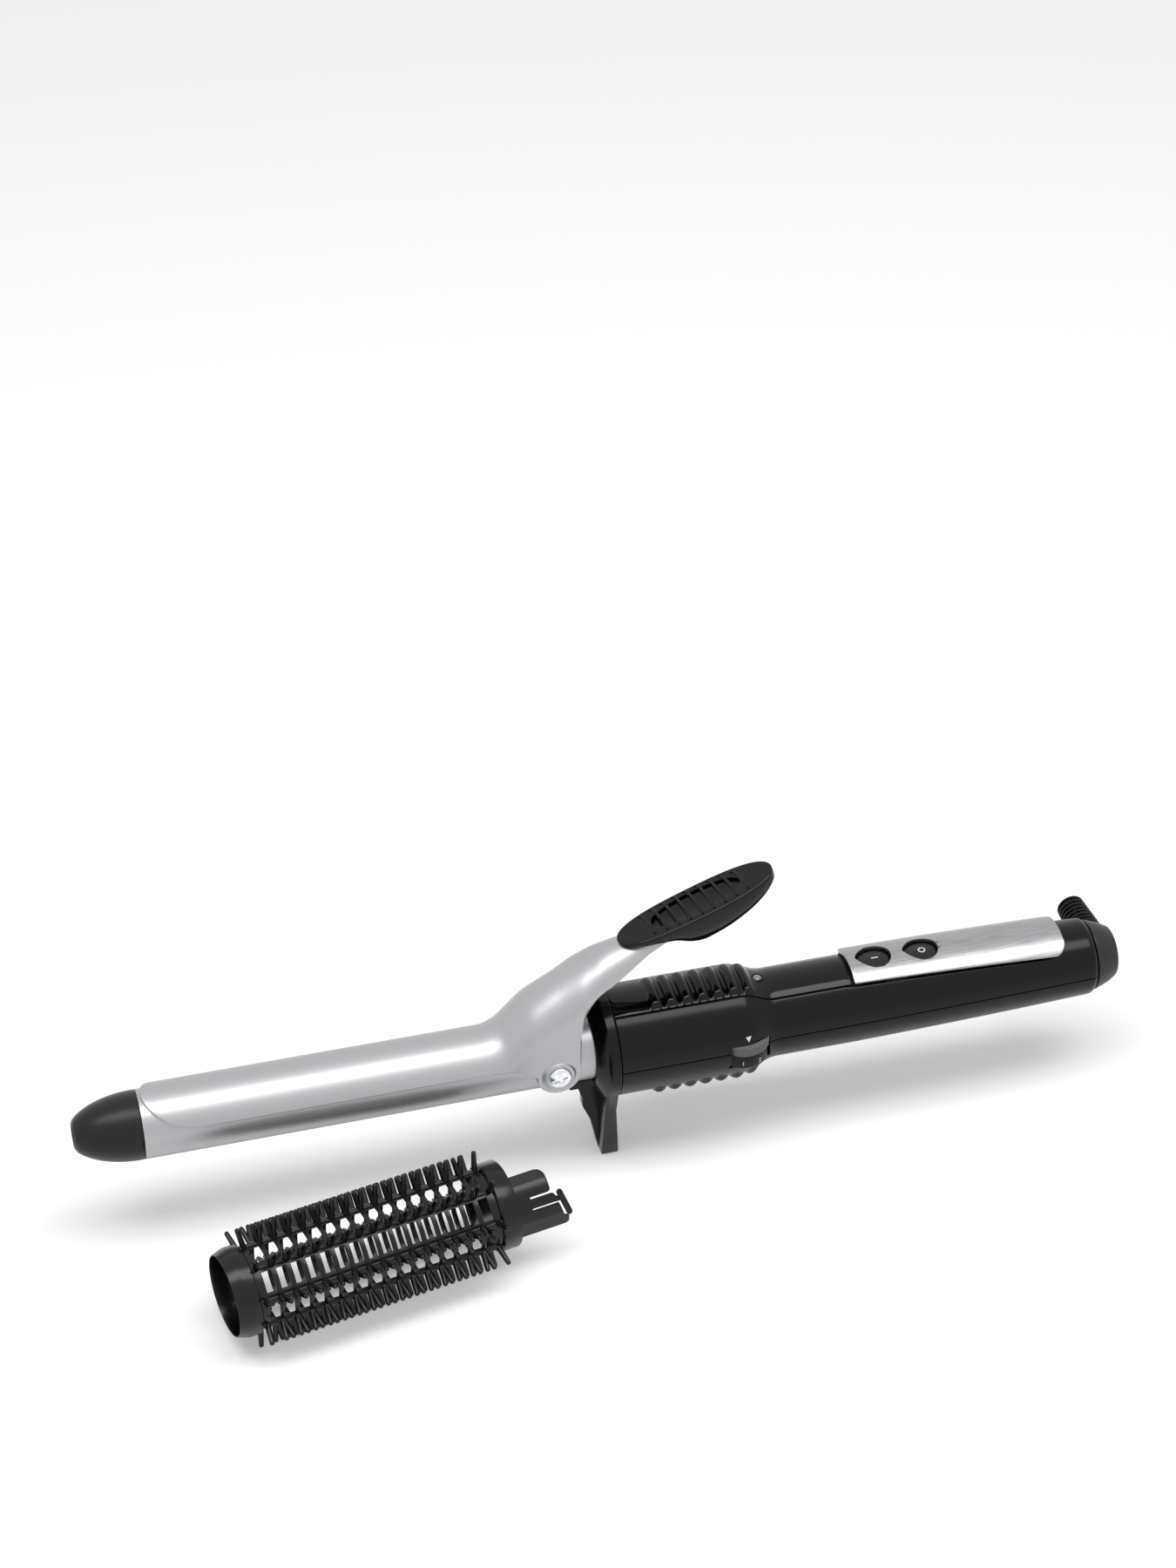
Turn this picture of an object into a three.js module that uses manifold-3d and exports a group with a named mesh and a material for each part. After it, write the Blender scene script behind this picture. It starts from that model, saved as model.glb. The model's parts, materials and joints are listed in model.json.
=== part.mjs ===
// Curling tong with a spring clamp, a fixed stand under the collar, a swivelling cord outlet and a slide-on
// brush sleeve. Millimetres, +Z up, +X from the barrel towards the handle. The origin is the middle of
// the stand's flat sole. Every piece is modelled about the barrel's axis and then lifted onto the stand.
import * as THREE from "three";
import { mergeVertices } from "three/addons/utils/BufferGeometryUtils.js";
import Module from "manifold-3d";

const wasm = await Module();
wasm.setup();

// ---- Driving dimensions ------------------------------------------------------------------------

const GAP = 0.3;                  // clearance left between neighbouring pieces
const ROUND = 24;                 // sides of a large round piece
const SMALL_ROUND = 12;           // sides of a small round piece

// Barrel and tip
const BARREL_RADIUS = 9.5;
const BARREL_WALL = 0.8;
const BARREL_FRONT = -132.5;
const BARREL_REAR = 14;
const TIP_LENGTH = 17.1;
const TIP_FACE_RADIUS = 4;
const TIP_RECESS_RADIUS = 3.1;
const TIP_RECESS_DEPTH = 3;
const TIP_SPIGOT_LENGTH = 8;

// Heater in the barrel
const HEATER_FRONT = -121;
const HEATER_REAR = -38;
const HEATER_THICKNESS = 2.6;
const HEATER_WIDTH = 12;
const SPREADER_WALL = 1.2;         // wall of the hollow half round plates that grip the heater
const FUSE_RADIUS = 1.6;
const FUSE_LENGTH = 7;
const LEAD_RADIUS = 0.8;
const LEAD_SPREAD = 2.2;          // sideways place of each lead in the barrel
const LEAD_PASSAGE_RADIUS = 4.2;

// Clamp
const CLAMP_THICKNESS = 0.9;
const CLAMP_STANDOFF = 0.2;       // daylight between the closed clamp and the barrel
const CLAMP_FRONT = -130.8;
const CLAMP_CORNER = 15.5;        // radius of the rounded front corners, seen from above
const CLAMP_EDGE_HEIGHT = 3.8;    // lower edge of the jaw, above the barrel's axis
const PIVOT_X = -18.6;
const EAR_RADIUS = 6.2;
const EAR_BOSS_RADIUS = 4.4;
const EAR_BOSS_HEIGHT = 0.7;
const PIVOT_SCREW_RADIUS = 1.5;
const PIVOT_HEAD_RADIUS = 3.2;
const PIVOT_HEAD_HEIGHT = 1.4;
const PIVOT_BLOCK_LENGTH = 9;
const SPRING_WIDTH = 5;
const SPRING_THICKNESS = 0.5;

// Thumb pad
const PAD_LENGTH = 46;
const PAD_WIDTH = 13.6;
const PAD_PITCH = 21.5;           // degrees above level
const PAD_NOSE = new THREE.Vector2(0.4, 35);
const PAD_DEPTH = 11;
const PAD_SLOTS = 9;
const PAD_SLOT_PITCH = 3.45;
const PAD_SLOT_WIDTH = 1.8;
const PAD_SLOT_DEPTH = 1;

// Collar and stand
const COLLAR_NOSE_X = -8;
const COLLAR_NOSE_RADIUS = 10.4;
const COLLAR_RIM_FRONT = -5.5;
const COLLAR_RIM_REAR = -2.3;
const COLLAR_RADIUS = 15.8;
const COLLAR_SPIGOT_LENGTH = 8.3;
const STAND_HEIGHT = 38;          // barrel axis above the sole
const STAND_SOLE_HALF_WIDTH = 4.4;
const STAND_SOLE_FRONT = -5;
const STAND_SOLE_REAR = 0;
const HEEL_FRONT = -14.6;         // front of the tab that hugs the barrel's underside
const WEB_THICKNESS = 3.2;
const BUSH_LENGTH = 9.7;

// Handle
const WALL = 2;
const GRIP_RADIUS = 15.3;
const NECK_FRONT = 33;
const NECK_REAR = 44;
const NECK_RADIUS = 12.4;
const TAPER_START = 64;
const TAPER_DROP = 1.5;
const HANDLE_REAR = 138;
const HANDLE_EDGE = 1.5;          // rounded edge at the rear end
const END_WALL = 4.7;
const SEAM_HEIGHT = 0.6;          // joint of the two half shells, above the barrel's axis
const RIB_FIRST = 10;
const RIB_PITCH = 4.43;
const RIB_COUNT = 7;
const RIB_HEIGHT = 1.2;
const RIB_FOOT = 3;
const RIB_CREST = 1.4;

// Strip along the top of the handle: ribbed cover, then the metal control plate
const STRIP_THICKNESS = 1.6;
const COVER_HALF_WIDTH = 6.7;
const COVER_REAR = 66;
const PLATE_FRONT_HALF_WIDTH = 7;
const PLATE_REAR_HALF_WIDTH = 7.9;
const PLATE_END_MARGIN = 9.5;      // from the plate's rear end to the handle's
const PLATE_CORNER = 3.5;
const LEDGE_HALF_WIDTH = 6.1;     // inner edge of the ledges that carry the strip
const LEDGE_THICKNESS = 1.2;
const LED_X = 40.4;
const LED_RADIUS = 1.3;
const LED_LENGTH = 5;

// Push buttons, switches and board
const BUTTON_ON_X = 74.5;
const BUTTON_OFF_X = 88.3;
const BUTTON_RADIUS = 4.2;
const BUTTON_POINT = 5.2;         // length of the pointed end, from the middle of the round end
const BUTTON_PROUD = 0.5;
const BUTTON_FLANGE = 0.8;
const BUTTON_STEM_RADIUS = 1.6;
const BUTTON_TRAVEL = 0.5;
const BOARD_FRONT = 56;
const BOARD_REAR = 108;
const BOARD_HALF_WIDTH = 7.6;
const BOARD_THICKNESS = 1.6;
const BOARD_BOTTOM = 2;
const SWITCH_SIZE = 6;
const SWITCH_HEIGHT = 2.8;

// Temperature dial
const DIAL_X = 33.8;
const DIAL_RADIUS = 7.5;
const DIAL_PROUD = 1.2;           // how far the dial stands out of the grip
const DIAL_BOTTOM = -4.6;
const DIAL_KNURL_BOTTOM = -0.4;
const DIAL_TOP = 2.6;
const DIAL_TEETH = 24;
const DIAL_SHAFT_RADIUS = 1.6;

// Case screws
const FRONT_SCREW_X = 49.5;
const REAR_SCREW_X = 98;
const CASE_SCREW_RADIUS = 1.2;
const CASE_HEAD_RADIUS = 2.4;
const CASE_HEAD_HEIGHT = 1.6;
const CASE_HEAD_SEAT = 3;         // depth of the sunk hole that the head sits in
const CASE_SCREW_TOP = 8.4;
const CASE_POST_RADIUS = 3;

// Swivelling cord outlet
const SWIVEL_LENGTH = 7.1;
const SWIVEL_RADIUS = 10;
const SWIVEL_REAR_RADIUS = 8.2;
const SWIVEL_FLAT = 9;            // flat that the boot leaves from, off the axis
const SWIVEL_NECK_RADIUS = 4.6;
const CORE_RADIUS = 3;
const CORE_BORE_RADIUS = 1.6;
const CORE_REACH = 26;            // how far the core reaches in front of the handle's rear end
const SLIP_RING_LENGTH = 2.5;
const LIVE_RING_INSET = 22.5;     // from each slip ring's front to the handle's rear end
const LIVE_RING_RADIUS = 4.6;
const NEUTRAL_RING_INSET = 16;
const NEUTRAL_RING_RADIUS = 5.6;
const CONTACT_WIDTH = 3;
const CONTACT_THICKNESS = 0.4;
const BOOT_LENGTH = 13;
const BOOT_BASE_RADIUS = 4.1;
const BOOT_TIP_RADIUS = 3.5;
const BOOT_RIBS = 8;
const BOOT_BORE_RADIUS = 2.6;

// Brush sleeve, described along its own axis from its front ring
const BRUSH_X = -118.8;           // front ring's middle, beside the barrel
const BRUSH_Y = -47.4;
const BRUSH_YAW = 10.7;           // degrees
const BRUSH_ROWS = 8;
const BRUSH_FIRST_ROW = 22.5;     // degrees up from level, on the side away from the tong
const BRUSH_CLEARANCE = 0.3;      // between the closed clamp and the sleeve's bore
const BRUSH_RING_WALL = 1.3;
const BRUSH_CAGE_WALL = 0.6;
const BRUSH_NOSE_LENGTH = 3;      // the front ring's tapered part
const BRUSH_NOSE_RADIUS = 11.4;
const BRUSH_RING_LENGTH = 6.4;
const BRUSH_COLLAR_FRONT = 75;
const BRUSH_COLLAR_REAR = 80.4;
const BRUSH_UPPER_WING_REAR = 90.2;
const BRUSH_LOWER_WING_REAR = 94.5;
const BRUSH_WING_ANGLE = 30;      // middle of both wings, degrees up from level
const BRUSH_WING_HALF_ANGLE = 48;
const BRISTLE_HEIGHT = 5.7;       // tips above the cage
const BRISTLE_PITCH = 4.1;
const BRISTLE_STATIONS = 17;
const BRISTLE_RADIUS = 0.85;      // at the root
const BRISTLE_TOP_RADIUS = 0.7;
const BRISTLE_SPLAY = 0.95;       // a pair's roots stand this far either side of their hoop
const BRISTLE_LEAN = 6.5;         // degrees, one fore and one aft at each hoop
const BRISTLE_SINK = 0.3;         // how deep a root goes into its bar
const STRIP_BAR_WIDTH = 1.8;
const STRIP_BAR_HEIGHT = 0.5;
const WINDOW_LENGTH = 2.7;
const WINDOW_WIDTH = 6.2;
const LATCH_ANGLE = 32.5;         // degrees up from level
const LATCH_HALF_WIDTH = 1.15;
const LATCH_SLOT = 0.75;
const LATCH_FINGER_REAR = 92.2;
const LATCH_BAR_X = 93.2;
const LATCH_BAR_ANGLE = 22;
const LATCH_BAR_SLANT = 16.5;
const LATCH_BAR_WIDTH = 1.7;
const LATCH_BAR_HALF_LENGTH = 4.1;
const LATCH_BAR_RISE = 0.9;       // above the wings

// ---- Worked out from them ----------------------------------------------------------------------

const BARREL_BORE = BARREL_RADIUS - BARREL_WALL;
const CLAMP_INNER = BARREL_RADIUS + CLAMP_STANDOFF;
const CLAMP_OUTER = CLAMP_INNER + CLAMP_THICKNESS;
const TIP_FACE_X = BARREL_FRONT - TIP_LENGTH;
const SHELL_FRONT = COLLAR_RIM_REAR + GAP;
const GRIP_BORE = GRIP_RADIUS - WALL;
const DIAL_Y = -(GRIP_RADIUS + DIAL_PROUD - DIAL_RADIUS);
const PLATE_REAR = HANDLE_REAR - PLATE_END_MARGIN;
const CASE_SPAN = HANDLE_REAR + 20;   // reach of the blocks that part the two half shells
const BOARD_TOP = BOARD_BOTTOM + BOARD_THICKNESS;
const SOLE_MIDDLE = (STAND_SOLE_FRONT + STAND_SOLE_REAR) / 2;
const COLLAR_SPIGOT_REAR = COLLAR_RIM_REAR + COLLAR_SPIGOT_LENGTH;
const BUSH_FRONT = COLLAR_SPIGOT_REAR + GAP;
const BUSH_REAR = BUSH_FRONT + BUSH_LENGTH;
const CORE_FRONT = HANDLE_REAR - CORE_REACH;
const LIVE_RING_X = HANDLE_REAR - LIVE_RING_INSET;
const NEUTRAL_RING_X = HANDLE_REAR - NEUTRAL_RING_INSET;
const BRUSH_BORE_RADIUS = CLAMP_OUTER + BRUSH_CLEARANCE;
const BRUSH_RING_RADIUS = BRUSH_BORE_RADIUS + BRUSH_RING_WALL;
const BRUSH_CAGE_RADIUS = BRUSH_BORE_RADIUS + BRUSH_CAGE_WALL;
const BRISTLE_TIP_RADIUS = BRUSH_CAGE_RADIUS + BRISTLE_HEIGHT;
const BRISTLE_ROW_STEP = 360 / BRUSH_ROWS;
const LATCH_ROOT = BRUSH_COLLAR_REAR + 3.4;
const BRUSH_REST_TURN = THREE.MathUtils.degToRad(BRISTLE_ROW_STEP / 2);   // it stands on two rows
const BRUSH_AXIS_HEIGHT = BRISTLE_TIP_RADIUS * Math.cos(BRUSH_REST_TURN)
  + BRISTLE_TOP_RADIUS * Math.sin(BRUSH_REST_TURN);
const BRISTLE_SPAN = (BRISTLE_STATIONS - 1) * BRISTLE_PITCH;
const BRISTLE_START = (BRUSH_RING_LENGTH + BRUSH_COLLAR_FRONT - BRISTLE_SPAN) / 2;

// ---- Materials ---------------------------------------------------------------------------------

function finish(color, roughness, metalness) {
  return new THREE.MeshStandardMaterial({ color, roughness, metalness });
}

const silverPaint = finish(0xb9bcc0, 0.35, 0.8);
const brushedPlate = finish(0xc9cbce, 0.3, 1);
const bareMetal = finish(0xd4d6d8, 0.2, 1);
const springSteel = finish(0x9a9ca0, 0.35, 1);
const brassMetal = finish(0xb89548, 0.35, 1);
const charcoal = finish(0x2b2c2e, 0.4, 0);
const satinBlack = finish(0x141415, 0.45, 0);
const glossBlack = finish(0x0a0a0b, 0.1, 0);
const rubberBlack = finish(0x111112, 0.7, 0);
const brushBlack = finish(0x161617, 0.3, 0);
const ceramicWhite = finish(0xe8e6de, 0.6, 0);
const boardGreen = finish(0x1f6b3a, 0.5, 0);
const redWire = finish(0x9a1f1c, 0.5, 0);
const blueWire = finish(0x1f3f9a, 0.5, 0);
const clearLens = finish(0xdfe6ea, 0.1, 0);

// ---- Solids ------------------------------------------------------------------------------------

// A closed three.js geometry as a solid that can be joined and cut.
function solid(geometry) {
  const bare = geometry.clone();
  bare.deleteAttribute("normal");
  bare.deleteAttribute("uv");
  const merged = mergeVertices(bare, 1e-4);
  const place = merged.attributes.position.array;
  const index = merged.index.array;
  const faces = [];
  let volume = 0;
  for (let i = 0; i < index.length; i += 3) {
    const [a, b, c] = [index[i], index[i + 1], index[i + 2]];
    if (a === b || b === c || c === a) continue;
    faces.push([a, b, c]);
    const [p, q, r] = [a, b, c].map((v) => new THREE.Vector3().fromArray(place, 3 * v));
    volume += p.dot(q.cross(r));
  }
  if (volume < 0) faces.forEach((face) => face.reverse());
  return new wasm.Manifold(new wasm.Mesh({
    numProp: 3,
    vertProperties: Float32Array.from(place),
    triVerts: Uint32Array.from(faces.flat()),
  }));
}

// The solid back as a geometry that a mesh can show.
function geometryOf(manifold) {
  const mesh = manifold.getMesh();
  const geometry = new THREE.BufferGeometry();
  geometry.setAttribute("position", new THREE.BufferAttribute(mesh.vertProperties, 3));
  geometry.setIndex(new THREE.BufferAttribute(mesh.triVerts, 1));
  geometry.computeVertexNormals();
  return geometry;
}

function piece(name, manifold, material) {
  const mesh = new THREE.Mesh(geometryOf(manifold), material);
  mesh.name = name;
  return mesh;
}

function block(x0, x1, y0, y1, z0, z1) {
  const box = new THREE.BoxGeometry(x1 - x0, y1 - y0, z1 - z0);
  return solid(box.translate((x0 + x1) / 2, (y0 + y1) / 2, (z0 + z1) / 2));
}

// A body turned about the X axis from [x, radius] corners. An open outline is closed down to the axis.
function turned(corners, sides = ROUND, closeOnItself = false) {
  const ends = closeOnItself ? [] : [[corners[0][0], 0]];
  const rest = closeOnItself ? [corners[0]] : [[corners.at(-1)[0], 0]];
  const outline = [...ends, ...corners, ...rest].map(([x, radius]) => new THREE.Vector2(radius, x));
  const lathe = new THREE.LatheGeometry(outline, sides);
  return solid(lathe.rotateY(Math.PI / 2).rotateZ(-Math.PI / 2));
}

// A ring about the X axis.
function ring(x0, x1, inner, outer, sides = ROUND) {
  return turned([[x0, inner], [x0, outer], [x1, outer], [x1, inner]], sides, true);
}

function rodX(x0, x1, radius, y = 0, z = 0, sides = SMALL_ROUND) {
  const rod = new THREE.CylinderGeometry(radius, radius, x1 - x0, sides);
  return solid(rod.rotateZ(-Math.PI / 2).translate((x0 + x1) / 2, y, z));
}

function rodY(y0, y1, radius, x = 0, z = 0, sides = SMALL_ROUND) {
  const rod = new THREE.CylinderGeometry(radius, radius, y1 - y0, sides);
  return solid(rod.translate(x, (y0 + y1) / 2, z));
}

function rodZ(z0, z1, radius, x = 0, y = 0, sides = SMALL_ROUND) {
  const rod = new THREE.CylinderGeometry(radius, radius, z1 - z0, sides);
  return solid(rod.rotateX(Math.PI / 2).translate(x, y, (z0 + z1) / 2));
}

// An outline in plan (x, y), raised from z0 to z1.
function risen(shape, z0, z1, curveSegments = 6) {
  const slab = new THREE.ExtrudeGeometry(shape, { depth: z1 - z0, bevelEnabled: false, curveSegments });
  return solid(slab.translate(0, 0, z0));
}

// A side view outline (x, z), spread from y0 to y1.
function spread(shape, y0, y1, curveSegments = 6) {
  const slab = new THREE.ExtrudeGeometry(shape, { depth: y1 - y0, bevelEnabled: false, curveSegments });
  return solid(slab.rotateX(Math.PI / 2).translate(0, y1, 0));
}

function outline(corners) {
  return new THREE.Shape(corners.map(([a, b]) => new THREE.Vector2(a, b)));
}

function joined(solids) {
  return solids.reduce((whole, next) => whole.add(next));
}

// A strip of even thickness along a path of (x, z) points, seen from the side.
function stripOutline(path, thickness) {
  const side = (offset) => path.map((point, i) => {
    const before = path[Math.max(i - 1, 0)];
    const after = path[Math.min(i + 1, path.length - 1)];
    const along = after.clone().sub(before).normalize();
    return new THREE.Vector2(point.x - along.y * offset, point.y + along.x * offset);
  });
  return new THREE.Shape([...side(thickness / 2), ...side(-thickness / 2).reverse()]);
}

// ---- Barrel, tip and heater --------------------------------------------------------------------

function barrelTube() {
  const tube = ring(BARREL_FRONT, BARREL_REAR, BARREL_BORE, BARREL_RADIUS);
  const hole = rodY(-BARREL_RADIUS - 1, BARREL_RADIUS + 1, PIVOT_SCREW_RADIUS + GAP, PIVOT_X);
  return piece("barrel_tube", tube.subtract(hole), silverPaint);
}

function barrelTip() {
  const nose = [];
  for (let i = 0; i <= 8; i += 1) {
    const t = i / 8;
    const bulge = Math.sqrt(1 - t * t * 0.83);
    nose.push([BARREL_FRONT - GAP - t * (TIP_LENGTH - GAP), BARREL_RADIUS * bulge]);
  }
  nose.at(-1)[1] = TIP_FACE_RADIUS;
  const body = turned(nose.reverse());
  const spigot = rodX(BARREL_FRONT - 1, BARREL_FRONT + TIP_SPIGOT_LENGTH, BARREL_BORE - GAP, 0, 0, ROUND);
  const recess = rodX(TIP_FACE_X - 1, TIP_FACE_X + TIP_RECESS_DEPTH, TIP_RECESS_RADIUS);
  return piece("barrel_tip", body.add(spigot).subtract(recess), charcoal);
}

function heaterPlate(name, side) {
  const bar = rodX(HEATER_FRONT, HEATER_REAR, BARREL_BORE - GAP, 0, 0, ROUND);
  const face = HEATER_THICKNESS / 2 + GAP;
  const reach = BARREL_RADIUS;
  const half = side > 0
    ? block(HEATER_FRONT - 1, HEATER_REAR + 1, -reach, reach, face, reach)
    : block(HEATER_FRONT - 1, HEATER_REAR + 1, -reach, reach, -reach, -face);
  const inner = rodX(HEATER_FRONT - 1, HEATER_REAR + 1, BARREL_BORE - GAP - SPREADER_WALL, 0, 0, ROUND);
  const floor = face + SPREADER_WALL;
  const hollow = side > 0
    ? block(HEATER_FRONT - 1, HEATER_REAR + 1, -reach, reach, floor, reach)
    : block(HEATER_FRONT - 1, HEATER_REAR + 1, -reach, reach, -reach, -floor);
  return piece(name, bar.intersect(half).subtract(inner.intersect(hollow)), bareMetal);
}

function heater() {
  const half = HEATER_WIDTH / 2;
  const thick = HEATER_THICKNESS / 2;
  const slab = block(HEATER_FRONT + 2, HEATER_REAR + 2, -half, half, -thick, thick);
  return piece("ptc_heater", slab, ceramicWhite);
}

const FUSE_FRONT = HEATER_REAR + 2 + GAP;

function thermalFuse() {
  const fuse = rodX(FUSE_FRONT, FUSE_FRONT + FUSE_LENGTH, FUSE_RADIUS, -LEAD_SPREAD, 0, 12);
  return piece("thermal_fuse", fuse, ceramicWhite);
}

function lead(name, start, barrelY, handleY, material) {
  const route = new THREE.CatmullRomCurve3([
    new THREE.Vector3(start, barrelY, 0),
    new THREE.Vector3(PIVOT_X, barrelY, 0),
    new THREE.Vector3(BUSH_REAR, (barrelY + handleY) / 2, 0),
    new THREE.Vector3(DIAL_X, handleY, 0.4),
    new THREE.Vector3(BOARD_FRONT - GAP, handleY, BOARD_BOTTOM + BOARD_THICKNESS / 2),
  ]);
  const section = new THREE.Shape();
  section.absarc(0, 0, LEAD_RADIUS, 0, 2 * Math.PI);
  const run = new THREE.ExtrudeGeometry(section, { steps: 16, extrudePath: route, curveSegments: 3 });
  return piece(name, solid(run), material);
}

function pivotBlock() {
  const half = PIVOT_BLOCK_LENGTH / 2;
  const plug = ring(PIVOT_X - half, PIVOT_X + half, LEAD_PASSAGE_RADIUS, BARREL_BORE - GAP);
  const holes = rodY(-BARREL_RADIUS, BARREL_RADIUS, PIVOT_SCREW_RADIUS + GAP, PIVOT_X);
  return piece("pivot_block", plug.subtract(holes), bareMetal);
}

// ---- Clamp -------------------------------------------------------------------------------------

// Top line of the clamp in its middle plane, and the half width of its arch there: [x, z, half width].
const CLAMP_SPINE = [
  [CLAMP_FRONT, CLAMP_OUTER, CLAMP_OUTER],
  [-37, CLAMP_OUTER, CLAMP_OUTER],
  [-33.5, CLAMP_OUTER + 1.2, CLAMP_OUTER],
  [-30, CLAMP_OUTER + 4.6, CLAMP_OUTER],
  [-26, 19.2, CLAMP_OUTER],
  [-21, 22.6, CLAMP_OUTER],
  [-16, 25.6, CLAMP_OUTER],
  [PIVOT_X + EAR_RADIUS + 1, 28.4, CLAMP_OUTER],
  [-8, 30.3, 9.6],
  [-4, 32.4, 8.6],
  [2, 34.4, 7.2],
  [8, 36.4, 5.6],
  [14, 38.6, 4.9],
  [32, 45.7, 4.4],
];

const ARCH_SIDES = 12;
const ARCH_FOOT = -EAR_RADIUS - 2;

// Half round arch with straight sides down to a foot level, in the plane across the clamp at x.
function archLoop(x, top, halfWidth, rise, thickness, foot) {
  const loop = [];
  const arc = (radius, crown) => {
    const points = [];
    for (let i = 0; i <= ARCH_SIDES; i += 1) {
      const angle = Math.PI * (i / ARCH_SIDES);
      const y = -radius * Math.cos(angle);
      points.push(new THREE.Vector3(x, y, crown - radius + radius * Math.sin(angle)));
    }
    return points;
  };
  const outer = arc(halfWidth, top);
  const inner = arc(halfWidth - thickness, top - rise);
  loop.push(new THREE.Vector3(x, -halfWidth, foot), ...outer, new THREE.Vector3(x, halfWidth, foot));
  loop.push(new THREE.Vector3(x, halfWidth - thickness, foot), ...inner.reverse());
  loop.push(new THREE.Vector3(x, -halfWidth + thickness, foot));
  return loop;
}

// A closed skin through loops of equal length, with flat ends filled from paired loop points.
function lofted(loops) {
  const count = loops[0].length;
  const place = loops.flat().flatMap((point) => point.toArray());
  const index = [];
  for (let s = 0; s < loops.length - 1; s += 1) {
    for (let i = 0; i < count; i += 1) {
      const a = s * count + i;
      const b = s * count + ((i + 1) % count);
      index.push(a, b, a + count, b, b + count, a + count);
    }
  }
  const last = (loops.length - 1) * count;
  for (let i = 0; i < count / 2 - 1; i += 1) {
    const [a, b, c, d] = [i, i + 1, count - 2 - i, count - 1 - i];
    index.push(a, c, b, a, d, c);
    index.push(last + a, last + b, last + c, last + a, last + c, last + d);
  }
  const skin = new THREE.BufferGeometry();
  skin.setAttribute("position", new THREE.Float32BufferAttribute(place, 3));
  skin.setIndex(index);
  return solid(skin);
}

// The bent sheet before it is trimmed. With grow above zero it is the space that clears the sheet.
function clampSheet(spine, grow) {
  const loops = spine.map(([x, z, halfWidth], i) => {
    const before = spine[Math.max(i - 1, 0)];
    const after = spine[Math.min(i + 1, spine.length - 1)];
    const slope = Math.atan2(after[1] - before[1], after[0] - before[0]);
    const rise = (CLAMP_THICKNESS + 2 * grow) / Math.cos(slope);
    return archLoop(x, z + grow, halfWidth + grow, rise, CLAMP_THICKNESS + 2 * grow, ARCH_FOOT);
  });
  return lofted(loops);
}

// Side view of what is kept of the sheet: jaw, ear and the rising edge of the arm.
function clampSideView() {
  const side = new THREE.Shape();
  side.moveTo(CLAMP_FRONT - 1, CLAMP_EDGE_HEIGHT);
  side.lineTo(-34, CLAMP_EDGE_HEIGHT);
  side.quadraticCurveTo(PIVOT_X - EAR_RADIUS - 3, CLAMP_EDGE_HEIGHT, PIVOT_X - EAR_RADIUS, 0);
  side.absarc(PIVOT_X, 0, EAR_RADIUS, Math.PI, 2 * Math.PI, false);
  side.lineTo(PIVOT_X + EAR_RADIUS, 11);
  side.quadraticCurveTo(-11.6, 22.5, -3.3, 25.6);
  side.lineTo(8, 32.6);
  side.lineTo(18.2, 37.6);
  side.lineTo(36, 44.6);
  side.lineTo(36, 60);
  side.lineTo(CLAMP_FRONT - 1, 60);
  return side;
}

function clampPlanView() {
  const front = CLAMP_FRONT;
  const half = CLAMP_OUTER + 1;
  const corner = CLAMP_CORNER;
  const plan = new THREE.Shape();
  plan.moveTo(60, -half);
  plan.lineTo(front + corner, -half);
  plan.quadraticCurveTo(front, -half + 0.5, front, 0);
  plan.quadraticCurveTo(front, half - 0.5, front + corner, half);
  plan.lineTo(60, half);
  return plan;
}

function clampShell() {
  const kept = spread(clampSideView(), -20, 20, 6);
  const plan = risen(clampPlanView(), -20, 80, 8);
  const bossOuter = CLAMP_OUTER + EAR_BOSS_HEIGHT;
  const bosses = rodY(-bossOuter, bossOuter, EAR_BOSS_RADIUS, PIVOT_X)
    .subtract(rodY(-CLAMP_INNER, CLAMP_INNER, EAR_BOSS_RADIUS + 1, PIVOT_X));
  const hole = rodY(-20, 20, PIVOT_SCREW_RADIUS + GAP, PIVOT_X);
  const sheet = clampSheet(CLAMP_SPINE, 0).intersect(kept).intersect(plan);
  return piece("clamp_shell", sheet.add(bosses).subtract(hole), silverPaint);
}

function pivotScrew(name, side) {
  const seat = CLAMP_OUTER + EAR_BOSS_HEIGHT + GAP;
  const crown = seat + PIVOT_HEAD_HEIGHT;
  const shank = LEAD_PASSAGE_RADIUS + GAP;
  const profile = [
    [shank, PIVOT_SCREW_RADIUS],
    [seat, PIVOT_SCREW_RADIUS],
    [seat, PIVOT_HEAD_RADIUS],
    [seat + PIVOT_HEAD_HEIGHT * 0.55, PIVOT_HEAD_RADIUS * 0.92],
    [crown, PIVOT_HEAD_RADIUS * 0.55],
  ];
  const slot = PIVOT_HEAD_RADIUS * 0.6;
  const cross = block(crown - 0.8, crown + 1, -slot, slot, -0.35, 0.35)
    .add(block(crown - 0.8, crown + 1, -0.35, 0.35, -slot, slot));
  const screw = turned(profile, SMALL_ROUND).subtract(cross).rotate([0, 0, side * 90]);
  return piece(name, screw.translate([PIVOT_X, 0, 0]), bareMetal);
}

// Underside of the lever in its middle plane.
function leverUnderside(x) {
  const i = CLAMP_SPINE.findIndex((station) => station[0] > x);
  const [x0, z0] = CLAMP_SPINE[i - 1];
  const [x1, z1] = CLAMP_SPINE[i];
  const slope = Math.atan2(z1 - z0, x1 - x0);
  return z0 + Math.tan(slope) * (x - x0) - CLAMP_THICKNESS / Math.cos(slope);
}

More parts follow.
